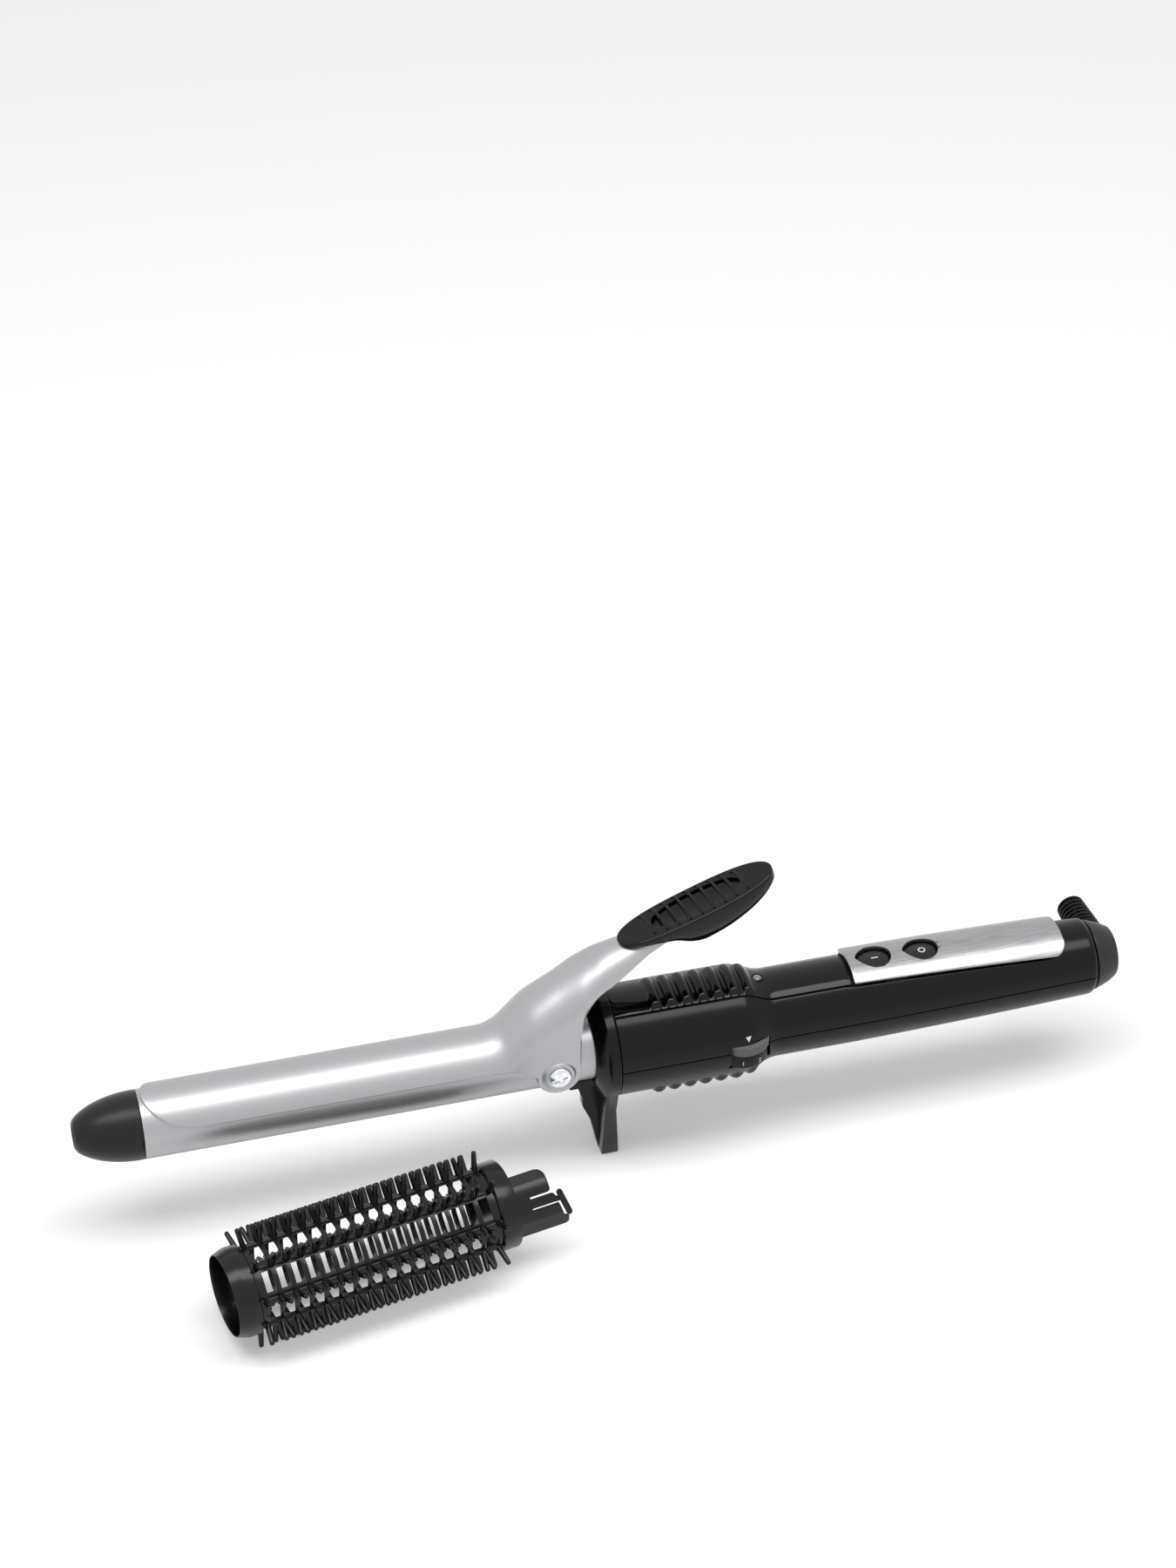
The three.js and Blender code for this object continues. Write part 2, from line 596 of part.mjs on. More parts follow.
// A leaf bent into a hairpin: one leg on the barrel, the other under the lever.
function clampSpring() {
  const onBarrel = BARREL_RADIUS + GAP + SPRING_THICKNESS / 2;
  const crownDrop = CLAMP_OUTER - Math.sqrt(CLAMP_OUTER ** 2 - (SPRING_WIDTH / 2) ** 2);
  const underLever = (x) => leverUnderside(x) - crownDrop - SPRING_THICKNESS - GAP;
  const path = new THREE.CatmullRomCurve3([
    new THREE.Vector3(-14, onBarrel, 0),
    new THREE.Vector3(-23, onBarrel + 0.2, 0),
    new THREE.Vector3(-27.2, onBarrel + 2.6, 0),
    new THREE.Vector3(-24.5, onBarrel + 5, 0),
    new THREE.Vector3(-18, onBarrel + 9.6, 0),
    new THREE.Vector3(-13.5, underLever(-13.5), 0),
    new THREE.Vector3(-9.4, underLever(-9.4), 0),
  ], false, "centripetal");
  const points = path.getPoints(16).map((point) => new THREE.Vector2(point.x, point.y));
  const leaf = spread(stripOutline(points, SPRING_THICKNESS), -SPRING_WIDTH / 2, SPRING_WIDTH / 2);
  return piece("clamp_spring", leaf, springSteel);
}

// Boat shaped pad, drawn along its own top face and then pitched up onto the lever.
function thumbPad() {
  const half = PAD_WIDTH / 2;
  const plan = new THREE.Shape();
  plan.moveTo(0, -2);
  plan.bezierCurveTo(6, -half, PAD_LENGTH * 0.3, -half, PAD_LENGTH * 0.55, -half);
  plan.bezierCurveTo(PAD_LENGTH * 0.85, -half, PAD_LENGTH, -half * 0.7, PAD_LENGTH, 0);
  plan.bezierCurveTo(PAD_LENGTH, half * 0.7, PAD_LENGTH * 0.85, half, PAD_LENGTH * 0.55, half);
  plan.bezierCurveTo(PAD_LENGTH * 0.3, half, 6, half, 0, 2);
  const side = new THREE.Shape();
  side.moveTo(-1, 1);
  side.lineTo(-1, -1.4);
  side.lineTo(PAD_LENGTH * 0.3, -PAD_DEPTH * 0.55);
  side.quadraticCurveTo(PAD_LENGTH * 0.42, -PAD_DEPTH, PAD_LENGTH * 0.52, -PAD_DEPTH);
  side.quadraticCurveTo(PAD_LENGTH * 0.86, -PAD_DEPTH * 0.9, PAD_LENGTH + 1, -1.5);
  side.lineTo(PAD_LENGTH + 1, 1);
  let pad = risen(plan, -PAD_DEPTH, 0, 6).intersect(spread(side, -20, 20, 5));
  const firstSlot = (PAD_LENGTH - (PAD_SLOTS - 1) * PAD_SLOT_PITCH) / 2;
  for (let i = 0; i < PAD_SLOTS; i += 1) {
    const x = firstSlot + i * PAD_SLOT_PITCH;
    const reach = half - 2.2 - 1.2 * Math.abs(i - (PAD_SLOTS - 1) / 2) / 2;
    pad = pad.subtract(block(x, x + PAD_SLOT_WIDTH, -reach, reach, -PAD_SLOT_DEPTH, 1));
  }
  const laid = pad.rotate([0, -PAD_PITCH, 0]).translate([PAD_NOSE.x, 0, PAD_NOSE.y]);
  const tail = CLAMP_SPINE.at(-1);
  const slope = Math.tan(THREE.MathUtils.degToRad(PAD_PITCH));
  const extended = [...CLAMP_SPINE.slice(0, -1), [tail[0] + GAP, tail[1] + GAP * slope, tail[2]]];
  return piece("thumb_pad", laid.subtract(clampSheet(extended, GAP)), glossBlack);
}

// ---- Collar, stand and bush --------------------------------------------------------------------

function collarStand() {
  const cone = turned([
    [COLLAR_NOSE_X, COLLAR_NOSE_RADIUS],
    [COLLAR_RIM_FRONT, COLLAR_RADIUS],
    [COLLAR_RIM_REAR, COLLAR_RADIUS],
    [COLLAR_RIM_REAR, GRIP_BORE - GAP],
    [COLLAR_SPIGOT_REAR, GRIP_BORE - GAP],
  ]);
  const sole = -STAND_HEIGHT;
  const shoulder = COLLAR_RADIUS * 0.8;
  const plate = outline([
    [-shoulder, 0], [-shoulder, -9], [-10.5, -16.5], [-6.6, -31], [-STAND_SOLE_HALF_WIDTH, sole],
    [STAND_SOLE_HALF_WIDTH, sole], [6.6, -31], [10.5, -16.5], [shoulder, -9], [shoulder, 0],
  ]);
  const front = new THREE.ExtrudeGeometry(plate, { depth: 8, bevelEnabled: false });
  const flat = solid(front.rotateX(Math.PI / 2).rotateZ(Math.PI / 2).translate(COLLAR_RIM_FRONT, 0, 0));
  const legSide = outline([
    [COLLAR_RIM_FRONT, 0], [COLLAR_RIM_FRONT, -17], [STAND_SOLE_FRONT, sole],
    [STAND_SOLE_REAR, sole], [COLLAR_RIM_REAR, -17], [COLLAR_RIM_REAR, 0],
  ]);
  const leg = flat.intersect(spread(legSide, -20, 20));
  const webSide = outline([
    [HEEL_FRONT, -9], [HEEL_FRONT, -12.2], [-11, -14.4], [-9.8, -18], [-9.6, -21.5],
    [-7.3, -27], [STAND_SOLE_FRONT, sole], [STAND_SOLE_FRONT + 2, sole], [COLLAR_RIM_REAR, -9],
  ]);
  const web = spread(webSide, -WEB_THICKNESS / 2, WEB_THICKNESS / 2);
  const heel = ring(HEEL_FRONT, COLLAR_RIM_FRONT, BARREL_RADIUS, BARREL_RADIUS + 2.6)
    .intersect(block(HEEL_FRONT, COLLAR_RIM_FRONT, -5.6, 5.6, -20, 0));
  const bore = rodX(HEEL_FRONT - 5, COLLAR_SPIGOT_REAR + 1, BARREL_RADIUS + GAP, 0, 0, ROUND);
  return piece("collar_stand", joined([cone, leg, web, heel]).subtract(bore), satinBlack);
}

function barrelBush() {
  const body = rodX(BUSH_FRONT, BUSH_REAR, GRIP_BORE - GAP, 0, 0, ROUND);
  const seat = rodX(BUSH_FRONT - 1, BARREL_REAR + GAP, BARREL_RADIUS + GAP, 0, 0, ROUND);
  const passage = rodX(BUSH_FRONT, BUSH_REAR + 1, LEAD_PASSAGE_RADIUS + 1);
  return piece("barrel_bush", body.subtract(seat).subtract(passage), ceramicWhite);
}

// ---- Handle ------------------------------------------------------------------------------------

function handleRadius(x) {
  if (x <= NECK_FRONT) return GRIP_RADIUS;
  if (x < NECK_REAR) {
    const t = (x - NECK_FRONT) / (NECK_REAR - NECK_FRONT);
    return THREE.MathUtils.lerp(GRIP_RADIUS, NECK_RADIUS, (1 - Math.cos(Math.PI * t)) / 2);
  }
  const t = Math.max(x - TAPER_START, 0) / (HANDLE_REAR - TAPER_START);
  return NECK_RADIUS - TAPER_DROP * t ** 1.5;
}

// The handle's outer body, or the same body shrunk by an inset on every side.
function handleBody(inset = 0) {
  const stations = [SHELL_FRONT, NECK_FRONT];
  for (let i = 1; i <= 5; i += 1) stations.push(NECK_FRONT + (i * (NECK_REAR - NECK_FRONT)) / 5);
  stations.push(TAPER_START, 90, 115);
  const rear = HANDLE_REAR - (inset > 0 ? END_WALL : 0);
  const corners = stations.map((x) => [x, handleRadius(x) - inset]);
  if (inset > 0) {
    const mouth = [SHELL_FRONT - 1, GRIP_RADIUS - inset];
    return turned([mouth, ...corners.slice(1), [rear, handleRadius(rear) - inset]]);
  }
  corners.push([rear - HANDLE_EDGE, handleRadius(rear)]);
  corners.push([rear - HANDLE_EDGE * 0.3, handleRadius(rear) - HANDLE_EDGE * 0.3]);
  corners.push([rear, handleRadius(rear) - HANDLE_EDGE]);
  return turned(corners);
}

// Grip ribs as one turned body; only the part over the top or under the bottom is kept.
function ribBody() {
  const corners = [[RIB_FIRST - RIB_PITCH, GRIP_RADIUS - 1]];
  for (let i = 0; i < RIB_COUNT; i += 1) {
    const x = RIB_FIRST + i * RIB_PITCH;
    const base = handleRadius(x);
    corners.push([x - RIB_FOOT / 2, base - 0.4]);
    corners.push([x - RIB_CREST / 2, base + RIB_HEIGHT]);
    corners.push([x + RIB_CREST / 2, base + RIB_HEIGHT]);
    corners.push([x + RIB_FOOT / 2, handleRadius(x + RIB_FOOT / 2) - 0.4]);
  }
  corners.push([RIB_FIRST + RIB_COUNT * RIB_PITCH, handleRadius(RIB_FIRST + RIB_COUNT * RIB_PITCH) - 1]);
  return turned(corners);
}

// Plan of the strip along the top, widened by a margin.
function stripPlan(x0, x1, halfAtStart, halfAtEnd, corner, margin) {
  const a = halfAtStart + margin;
  const b = halfAtEnd + margin;
  const rear = x1 + margin;
  const plan = new THREE.Shape();
  plan.moveTo(x0, -a);
  plan.lineTo(rear - corner, -b);
  plan.quadraticCurveTo(rear, -b, rear, -b + corner);
  plan.lineTo(rear, b - corner);
  plan.quadraticCurveTo(rear, b, rear - corner, b);
  plan.lineTo(x0, a);
  return plan;
}

const STRIP_TOP = GRIP_RADIUS + RIB_HEIGHT + 1;

function coverPlan(margin) {
  const half = COVER_HALF_WIDTH;
  const plan = stripPlan(SHELL_FRONT - 1, COVER_REAR - margin, half, half, 0.1, margin);
  return risen(plan, SEAM_HEIGHT + 1, STRIP_TOP);
}

function platePlan(front, margin) {
  const [narrow, wide] = [PLATE_FRONT_HALF_WIDTH, PLATE_REAR_HALF_WIDTH];
  const plan = stripPlan(front, PLATE_REAR, narrow, wide, PLATE_CORNER, margin);
  return risen(plan, SEAM_HEIGHT + 1, STRIP_TOP);
}

function dropPlan(x, margin) {
  const radius = BUTTON_RADIUS + margin;
  const point = BUTTON_POINT + margin;
  const plan = new THREE.Shape();
  plan.absarc(x, 0, radius, -1.9, 1.9, false);
  plan.quadraticCurveTo(x - point * 0.75, radius * 0.7, x - point, 0.6);
  plan.lineTo(x - point, -0.6);
  plan.quadraticCurveTo(x - point * 0.75, -radius * 0.7, x + radius * Math.cos(1.9), -radius * Math.sin(1.9));
  return plan;
}

function topCover() {
  const skin = handleBody().add(ribBody()).subtract(handleBody(STRIP_THICKNESS));
  const led = rodZ(0, 30, LED_RADIUS + GAP, LED_X, 0, 12);
  const trimmed = skin.intersect(coverPlan(0)).subtract(led);
  return piece("top_cover", trimmed, glossBlack);
}

function controlPlate() {
  let skin = handleBody().subtract(handleBody(STRIP_THICKNESS)).intersect(platePlan(COVER_REAR + GAP, 0));
  for (const x of [BUTTON_ON_X, BUTTON_OFF_X]) {
    skin = skin.subtract(risen(dropPlan(x, GAP), 0, 30));
  }
  return piece("control_plate", skin, brushedPlate);
}

function dialClearance() {
  return rodZ(DIAL_BOTTOM - GAP, DIAL_TOP + GAP, DIAL_RADIUS + 0.5, DIAL_X, DIAL_Y, ROUND);
}

// Hole through the end wall that the swivel's neck turns in.
function swivelHole() {
  return rodX(HANDLE_REAR - END_WALL - 1, HANDLE_REAR + 1, SWIVEL_NECK_RADIUS + GAP, 0, 0, ROUND);
}

function screwBlock(x) {
  const top = handleRadius(x) - STRIP_THICKNESS - GAP - 0.4;
  const bridge = block(x - CASE_POST_RADIUS, x + CASE_POST_RADIUS, -20, 20, BOARD_TOP + GAP + 0.6, top);
  const post = rodZ(SEAM_HEIGHT + GAP / 2, top, CASE_POST_RADIUS - GAP, x);
  return bridge.intersect(handleBody(STRIP_THICKNESS + GAP)).add(post);
}

function handleShellUpper() {
  const cavity = handleBody(WALL);
  const skin = handleBody().subtract(cavity);
  const slot = coverPlan(GAP).add(platePlan(COVER_REAR - 1, GAP));
  const ledgeTop = handleBody(STRIP_THICKNESS + GAP);
  const ledgeBand = ledgeTop.subtract(handleBody(STRIP_THICKNESS + GAP + LEDGE_THICKNESS));
  const ledgePlan = block(SHELL_FRONT, PLATE_REAR + 4, LEDGE_HALF_WIDTH, PLATE_REAR_HALF_WIDTH + 1.8, 0, 20)
    .add(block(SHELL_FRONT, PLATE_REAR + 4, -PLATE_REAR_HALF_WIDTH - 1.8, -LEDGE_HALF_WIDTH, 0, 20));
  const ledges = ledgeBand.intersect(ledgePlan)
    .subtract(rodX(SHELL_FRONT - 1, BUSH_REAR + GAP, GRIP_BORE, 0, 0, ROUND));
  const outerWalls = handleBody(0.1).subtract(handleBody(STRIP_THICKNESS + GAP + LEDGE_THICKNESS))
    .intersect(ledgePlan)
    .subtract(rodX(SHELL_FRONT - 1, BUSH_REAR + GAP, GRIP_BORE, 0, 0, ROUND))
    .subtract(slot);
  const upperHalf = block(-20, CASE_SPAN, -20, 20, SEAM_HEIGHT + GAP / 2, 20);
  const pilot = (x) => rodZ(-1, CASE_SCREW_TOP + 0.6, CASE_SCREW_RADIUS + GAP, x, 0, 12);
  const pilots = pilot(FRONT_SCREW_X).add(pilot(REAR_SCREW_X));
  const shell = skin.subtract(slot).add(ledges).add(outerWalls)
    .add(screwBlock(FRONT_SCREW_X)).add(screwBlock(REAR_SCREW_X))
    .intersect(upperHalf)
    .subtract(pilots).subtract(dialClearance()).subtract(swivelHole());
  return piece("handle_shell_upper", shell, satinBlack);
}

function handleShellLower() {
  const cavity = handleBody(WALL);
  const ribs = ribBody().subtract(handleBody(WALL / 2)).intersect(block(-20, CASE_SPAN, -7, 7, -30, 0));
  let shell = handleBody().subtract(cavity).add(ribs);
  for (const x of [FRONT_SCREW_X, REAR_SCREW_X]) {
    const floor = -handleRadius(x);
    shell = shell.add(rodZ(floor + WALL / 2, SEAM_HEIGHT - GAP / 2, CASE_POST_RADIUS, x));
    shell = shell.subtract(rodZ(floor - 1, 20, CASE_SCREW_RADIUS + GAP, x, 0, 12));
    shell = shell.subtract(rodZ(floor - 1, floor + CASE_HEAD_SEAT, CASE_HEAD_RADIUS + GAP, x));
  }
  for (const x of [BOARD_FRONT + 4, BOARD_REAR - 5.5]) {
    const rest = block(x - 1.2, x + 1.2, -4, 4, -handleRadius(x) + WALL / 2, BOARD_BOTTOM - GAP);
    shell = shell.add(rest);
  }
  const shelf = block(DIAL_X - 3, DIAL_X + 3, DIAL_Y + 0.5, DIAL_Y + 5, -13, DIAL_BOTTOM - 3.6);
  const lowerHalf = block(-20, CASE_SPAN, -20, 20, -30, SEAM_HEIGHT - GAP / 2)
    .add(block(BOARD_FRONT, BOARD_REAR, -5, 5, -1, BOARD_BOTTOM - GAP));
  shell = shell.add(shelf.intersect(handleBody(WALL / 2))).intersect(lowerHalf)
    .subtract(dialClearance()).subtract(swivelHole());
  return piece("handle_shell_lower", shell, satinBlack);
}

function caseScrew(name, x) {
  const seat = -handleRadius(x) + CASE_HEAD_SEAT - GAP;
  const head = rodZ(seat - CASE_HEAD_HEIGHT, seat, CASE_HEAD_RADIUS, x, 0, 12);
  const shank = rodZ(seat - 0.5, CASE_SCREW_TOP, CASE_SCREW_RADIUS, x, 0, 12);
  return piece(name, head.add(shank), springSteel);
}

// ---- Electrics ---------------------------------------------------------------------------------

function circuitBoard() {
  const board = block(BOARD_FRONT, BOARD_REAR, -BOARD_HALF_WIDTH, BOARD_HALF_WIDTH, BOARD_BOTTOM, BOARD_TOP);
  const hole = rodZ(0, 10, CASE_POST_RADIUS + GAP, REAR_SCREW_X);
  return piece("circuit_board", board.subtract(hole), boardGreen);
}

const SWITCH_TOP = BOARD_TOP + GAP + SWITCH_HEIGHT;

function tactSwitch(name, x) {
  const half = SWITCH_SIZE / 2;
  const body = block(x - half, x + half, -half, half, BOARD_TOP + GAP, SWITCH_TOP - 0.8);
  const plunger = rodZ(SWITCH_TOP - 1, SWITCH_TOP, BUTTON_STEM_RADIUS, x, 0, 12);
  return piece(name, body.add(plunger), satinBlack);
}

function pushButton(name, x) {
  const surface = handleRadius(x);
  const underside = surface - STRIP_THICKNESS;
  const flangeReach = BUTTON_RADIUS + BUTTON_FLANGE;
  const flangeTop = Math.sqrt(underside ** 2 - flangeReach ** 2) - GAP;
  const capZone = handleBody().translate([0, 0, BUTTON_PROUD]);
  const cap = risen(dropPlan(x, 0), flangeTop - 0.5, STRIP_TOP).intersect(capZone);
  const flange = risen(dropPlan(x, BUTTON_FLANGE), flangeTop - 0.9, flangeTop);
  const stem = rodZ(SWITCH_TOP + BUTTON_TRAVEL + 0.1, flangeTop, BUTTON_STEM_RADIUS, x, 0, 12);
  return piece(name, joined([cap, flange, stem]), charcoal);
}

function heatControl() {
  const top = DIAL_BOTTOM - GAP;
  const body = block(DIAL_X - 3.2, DIAL_X + 3.2, DIAL_Y - 0.8, DIAL_Y + 5.6, top - 2.4, top);
  const shaft = rodZ(top - 1, DIAL_TOP - 1.2, DIAL_SHAFT_RADIUS, DIAL_X, DIAL_Y, 12);
  return piece("heat_control", body.add(shaft), charcoal);
}

function temperatureDial() {
  const knurl = new THREE.Shape();
  for (let i = 0; i < DIAL_TEETH; i += 1) {
    for (const [shift, radius] of [[0, DIAL_RADIUS], [0.5, DIAL_RADIUS - 0.35]]) {
      const angle = (2 * Math.PI * (i + shift)) / DIAL_TEETH;
      const [px, py] = [DIAL_X + radius * Math.cos(angle), DIAL_Y + radius * Math.sin(angle)];
      if (i === 0 && shift === 0) knurl.moveTo(px, py);
      else knurl.lineTo(px, py);
    }
  }
  const rim = risen(knurl, DIAL_KNURL_BOTTOM, DIAL_TOP);
  const band = rodZ(DIAL_BOTTOM, DIAL_KNURL_BOTTOM + 0.2, DIAL_RADIUS - 0.5, DIAL_X, DIAL_Y, ROUND);
  const bore = rodZ(DIAL_BOTTOM - 1, DIAL_TOP - 1.2 + GAP, DIAL_SHAFT_RADIUS + GAP, DIAL_X, DIAL_Y, 12);
  return piece("temperature_dial", rim.add(band).subtract(bore), satinBlack);
}

function indicatorLed() {
  const surface = handleRadius(LED_X);
  const foot = surface - LED_LENGTH;
  const crown = [surface + 0.3, LED_RADIUS * 0.6];
  const dome = turned([[foot, LED_RADIUS], [surface - 0.2, LED_RADIUS], crown], 12);
  const flange = LED_RADIUS + 0.5;
  const base = turned([[foot, flange], [surface - STRIP_THICKNESS - 4 * GAP, flange]], 12);
  const led = dome.add(base).rotate([0, -90, 0]).translate([LED_X, 0, 0]);
  return piece("indicator_led", led, clearLens);
}

// ---- Swivelling cord outlet --------------------------------------------------------------------

const SWIVEL_FRONT = HANDLE_REAR + GAP;
const SWIVEL_REAR = SWIVEL_FRONT + SWIVEL_LENGTH;
const SWIVEL_NECK_FRONT = HANDLE_REAR - END_WALL - 2.6;
const BOOT_X = SWIVEL_FRONT + BOOT_BASE_RADIUS + 0.2;

function swivelCap() {
  const body = turned([
    [SWIVEL_NECK_FRONT, SWIVEL_NECK_RADIUS],
    [SWIVEL_FRONT, SWIVEL_NECK_RADIUS],
    [SWIVEL_FRONT, SWIVEL_RADIUS - 0.4],
    [SWIVEL_FRONT + 0.6, SWIVEL_RADIUS],
    [SWIVEL_REAR - 1.5, SWIVEL_REAR_RADIUS + 0.8],
    [SWIVEL_REAR, SWIVEL_REAR_RADIUS - 0.6],
  ]);
  const flat = block(SWIVEL_FRONT - 1, SWIVEL_REAR + 1, SWIVEL_FLAT, 20, -20, 20);
  const coreSeat = rodX(SWIVEL_NECK_FRONT - 1, SWIVEL_FRONT + 0.6, CORE_RADIUS + GAP);
  const leadWay = rodX(SWIVEL_FRONT, BOOT_X + CORE_BORE_RADIUS, CORE_BORE_RADIUS);
  const sideWay = rodY(0, 20, BOOT_BORE_RADIUS, BOOT_X);
  const groove = ring(SWIVEL_NECK_FRONT + 0.6, SWIVEL_NECK_FRONT + 2.2, SWIVEL_NECK_RADIUS - 0.6, 8);
  const cap = [flat, coreSeat, leadWay, sideWay, groove].reduce((rest, cut) => rest.subtract(cut), body);
  return piece("swivel_cap", cap, charcoal);
}

function swivelCore() {
  const core = ring(CORE_FRONT, SWIVEL_FRONT + 0.3, CORE_BORE_RADIUS, CORE_RADIUS, SMALL_ROUND);
  return piece("swivel_core", core, brassMetal);
}

function slipRing(name, x, radius) {
  return piece(name, ring(x, x + SLIP_RING_LENGTH, CORE_RADIUS + GAP, radius, SMALL_ROUND), brassMetal);
}

function retainingClip() {
  const x0 = SWIVEL_NECK_FRONT + 0.9;
  const whole = ring(x0, x0 + 1, SWIVEL_NECK_RADIUS - 0.3, SWIVEL_NECK_RADIUS + 2, SMALL_ROUND);
  const mouth = block(x0 - 1, x0 + 2, -1.5, 1.5, 0, 10);
  return piece("retaining_clip", whole.subtract(mouth), springSteel);
}

// A strip that leaves the board, steps to the level of its slip ring and reaches over it.
function contactSpring(name, side, x, radius) {
  const foot = side > 0 ? BOARD_TOP + GAP : BOARD_BOTTOM - GAP;
  const level = side * (radius + GAP);
  const half = (side * CONTACT_THICKNESS) / 2;
  const path = [
    new THREE.Vector2(BOARD_REAR - 3.2, foot + half),
    new THREE.Vector2(BOARD_REAR + 1, foot + half),
    new THREE.Vector2(BOARD_REAR + 3, level + half),
    new THREE.Vector2(x + SLIP_RING_LENGTH, level + half),
  ];
  const strip = spread(stripOutline(path, CONTACT_THICKNESS), -CONTACT_WIDTH / 2, CONTACT_WIDTH / 2);
  return piece(name, strip, brassMetal);
}

function cordBoot() {
  const start = SWIVEL_FLAT + GAP;
  const step = BOOT_LENGTH / BOOT_RIBS;
  const profile = [[start - 2, BOOT_BORE_RADIUS - GAP]];
  for (let i = 0; i < BOOT_RIBS; i += 1) {
    const y = start + i * step;
    const radius = THREE.MathUtils.lerp(BOOT_BASE_RADIUS, BOOT_TIP_RADIUS, i / (BOOT_RIBS - 1));
    const waist = radius - 0.8;
    profile.push([y, i === 0 ? BOOT_BORE_RADIUS - GAP : waist]);
    profile.push([y, radius]);
    profile.push([y + step * 0.62, radius]);
    profile.push([y + step * 0.62, waist]);
  }
  profile.push([start + BOOT_LENGTH, BOOT_TIP_RADIUS - 0.8]);
  const bore = rodX(start - 3, start + BOOT_LENGTH + 1, BOOT_BORE_RADIUS - GAP - 0.6, 0, 0, 12);
  const boot = turned(profile, SMALL_ROUND).subtract(bore).rotate([0, 0, 90]).translate([BOOT_X, 0, 0]);
  return piece("cord_boot", boot, rubberBlack);
}

// ---- Brush sleeve ------------------------------------------------------------------------------

// Turns a solid drawn on the upward side so that it points at an angle up from the near side.
function turnedTo(manifold, angle) {
  return manifold.rotate([90 - angle, 0, 0]);
}

function windowBodies() {
  const cuts = [];
  const first = BRISTLE_START + (BRISTLE_PITCH - WINDOW_LENGTH) / 2;
  for (let row = 0; row < BRUSH_ROWS; row += 1) {
    const angle = BRUSH_FIRST_ROW + (row + 0.5) * BRISTLE_ROW_STEP;
    for (let i = 0; i < BRISTLE_STATIONS - 1; i += 1) {
      const x = first + i * BRISTLE_PITCH;
      const half = WINDOW_WIDTH / 2;
      const cut = block(x, x + WINDOW_LENGTH, -half, half, BRUSH_BORE_RADIUS - 3, BRUSH_RING_RADIUS + 1);
      cuts.push(turnedTo(cut, angle));
    }
  }
  return joined(cuts);
}

function wingZone() {
  const wide = THREE.MathUtils.degToRad(BRUSH_WING_HALF_ANGLE);
  const reach = 2 * BRUSH_RING_RADIUS;
  const fan = outline([
    [0, 0],
    [-reach * Math.sin(wide), reach * Math.cos(wide)],
    [reach * Math.sin(wide), reach * Math.cos(wide)],
  ]);
  const depth = BRUSH_LOWER_WING_REAR - BRUSH_COLLAR_FRONT;
  const slab = new THREE.ExtrudeGeometry(fan, { depth, bevelEnabled: false });
  const zone = solid(slab.rotateX(Math.PI / 2).rotateZ(Math.PI / 2).translate(BRUSH_COLLAR_FRONT, 0, 0));
  return turnedTo(zone, BRUSH_WING_ANGLE);
}

// The slanting place of the latch's cross bar, widened all round by a margin and reaching further back.
function latchBarZone(margin, behind) {
  const half = LATCH_BAR_WIDTH / 2;
  const reach = LATCH_BAR_HALF_LENGTH + margin;
  const zone = block(-half - margin, half + behind, -reach, reach, 0, 20)
    .rotate([0, 0, LATCH_BAR_SLANT])
    .translate([LATCH_BAR_X, 0, 0]);
  return turnedTo(zone, LATCH_BAR_ANGLE);
}

function brushSleeve() {
  const profile = [
    [0, BRUSH_BORE_RADIUS], [0, BRUSH_NOSE_RADIUS], [BRUSH_NOSE_LENGTH, BRUSH_RING_RADIUS],
    [BRUSH_RING_LENGTH, BRUSH_RING_RADIUS],
    [BRUSH_RING_LENGTH, BRUSH_CAGE_RADIUS], [BRUSH_COLLAR_FRONT, BRUSH_CAGE_RADIUS],
    [BRUSH_COLLAR_FRONT, BRUSH_RING_RADIUS], [BRUSH_COLLAR_REAR, BRUSH_RING_RADIUS],
    [BRUSH_COLLAR_REAR, BRUSH_BORE_RADIUS],
  ];
  const tube = turned(profile, ROUND, true);
  const wingBand = ring(BRUSH_COLLAR_FRONT + 1, BRUSH_LOWER_WING_REAR, BRUSH_BORE_RADIUS, BRUSH_CAGE_RADIUS);
  const latchWay = LATCH_HALF_WIDTH + LATCH_SLOT;
  const slot = block(LATCH_ROOT, BRUSH_LOWER_WING_REAR + 1, -latchWay, latchWay, 0, 20);
  const shorter = block(BRUSH_UPPER_WING_REAR, BRUSH_LOWER_WING_REAR + 1, 0, 20, 0, 20);
  const wings = wingBand.intersect(wingZone())
    .subtract(turnedTo(slot.add(shorter), LATCH_ANGLE))
    .subtract(latchBarZone(LATCH_SLOT, 10));
  const sleeve = tube.subtract(windowBodies()).add(wings);
  return piece("brush_sleeve", sleeve, brushBlack);
}

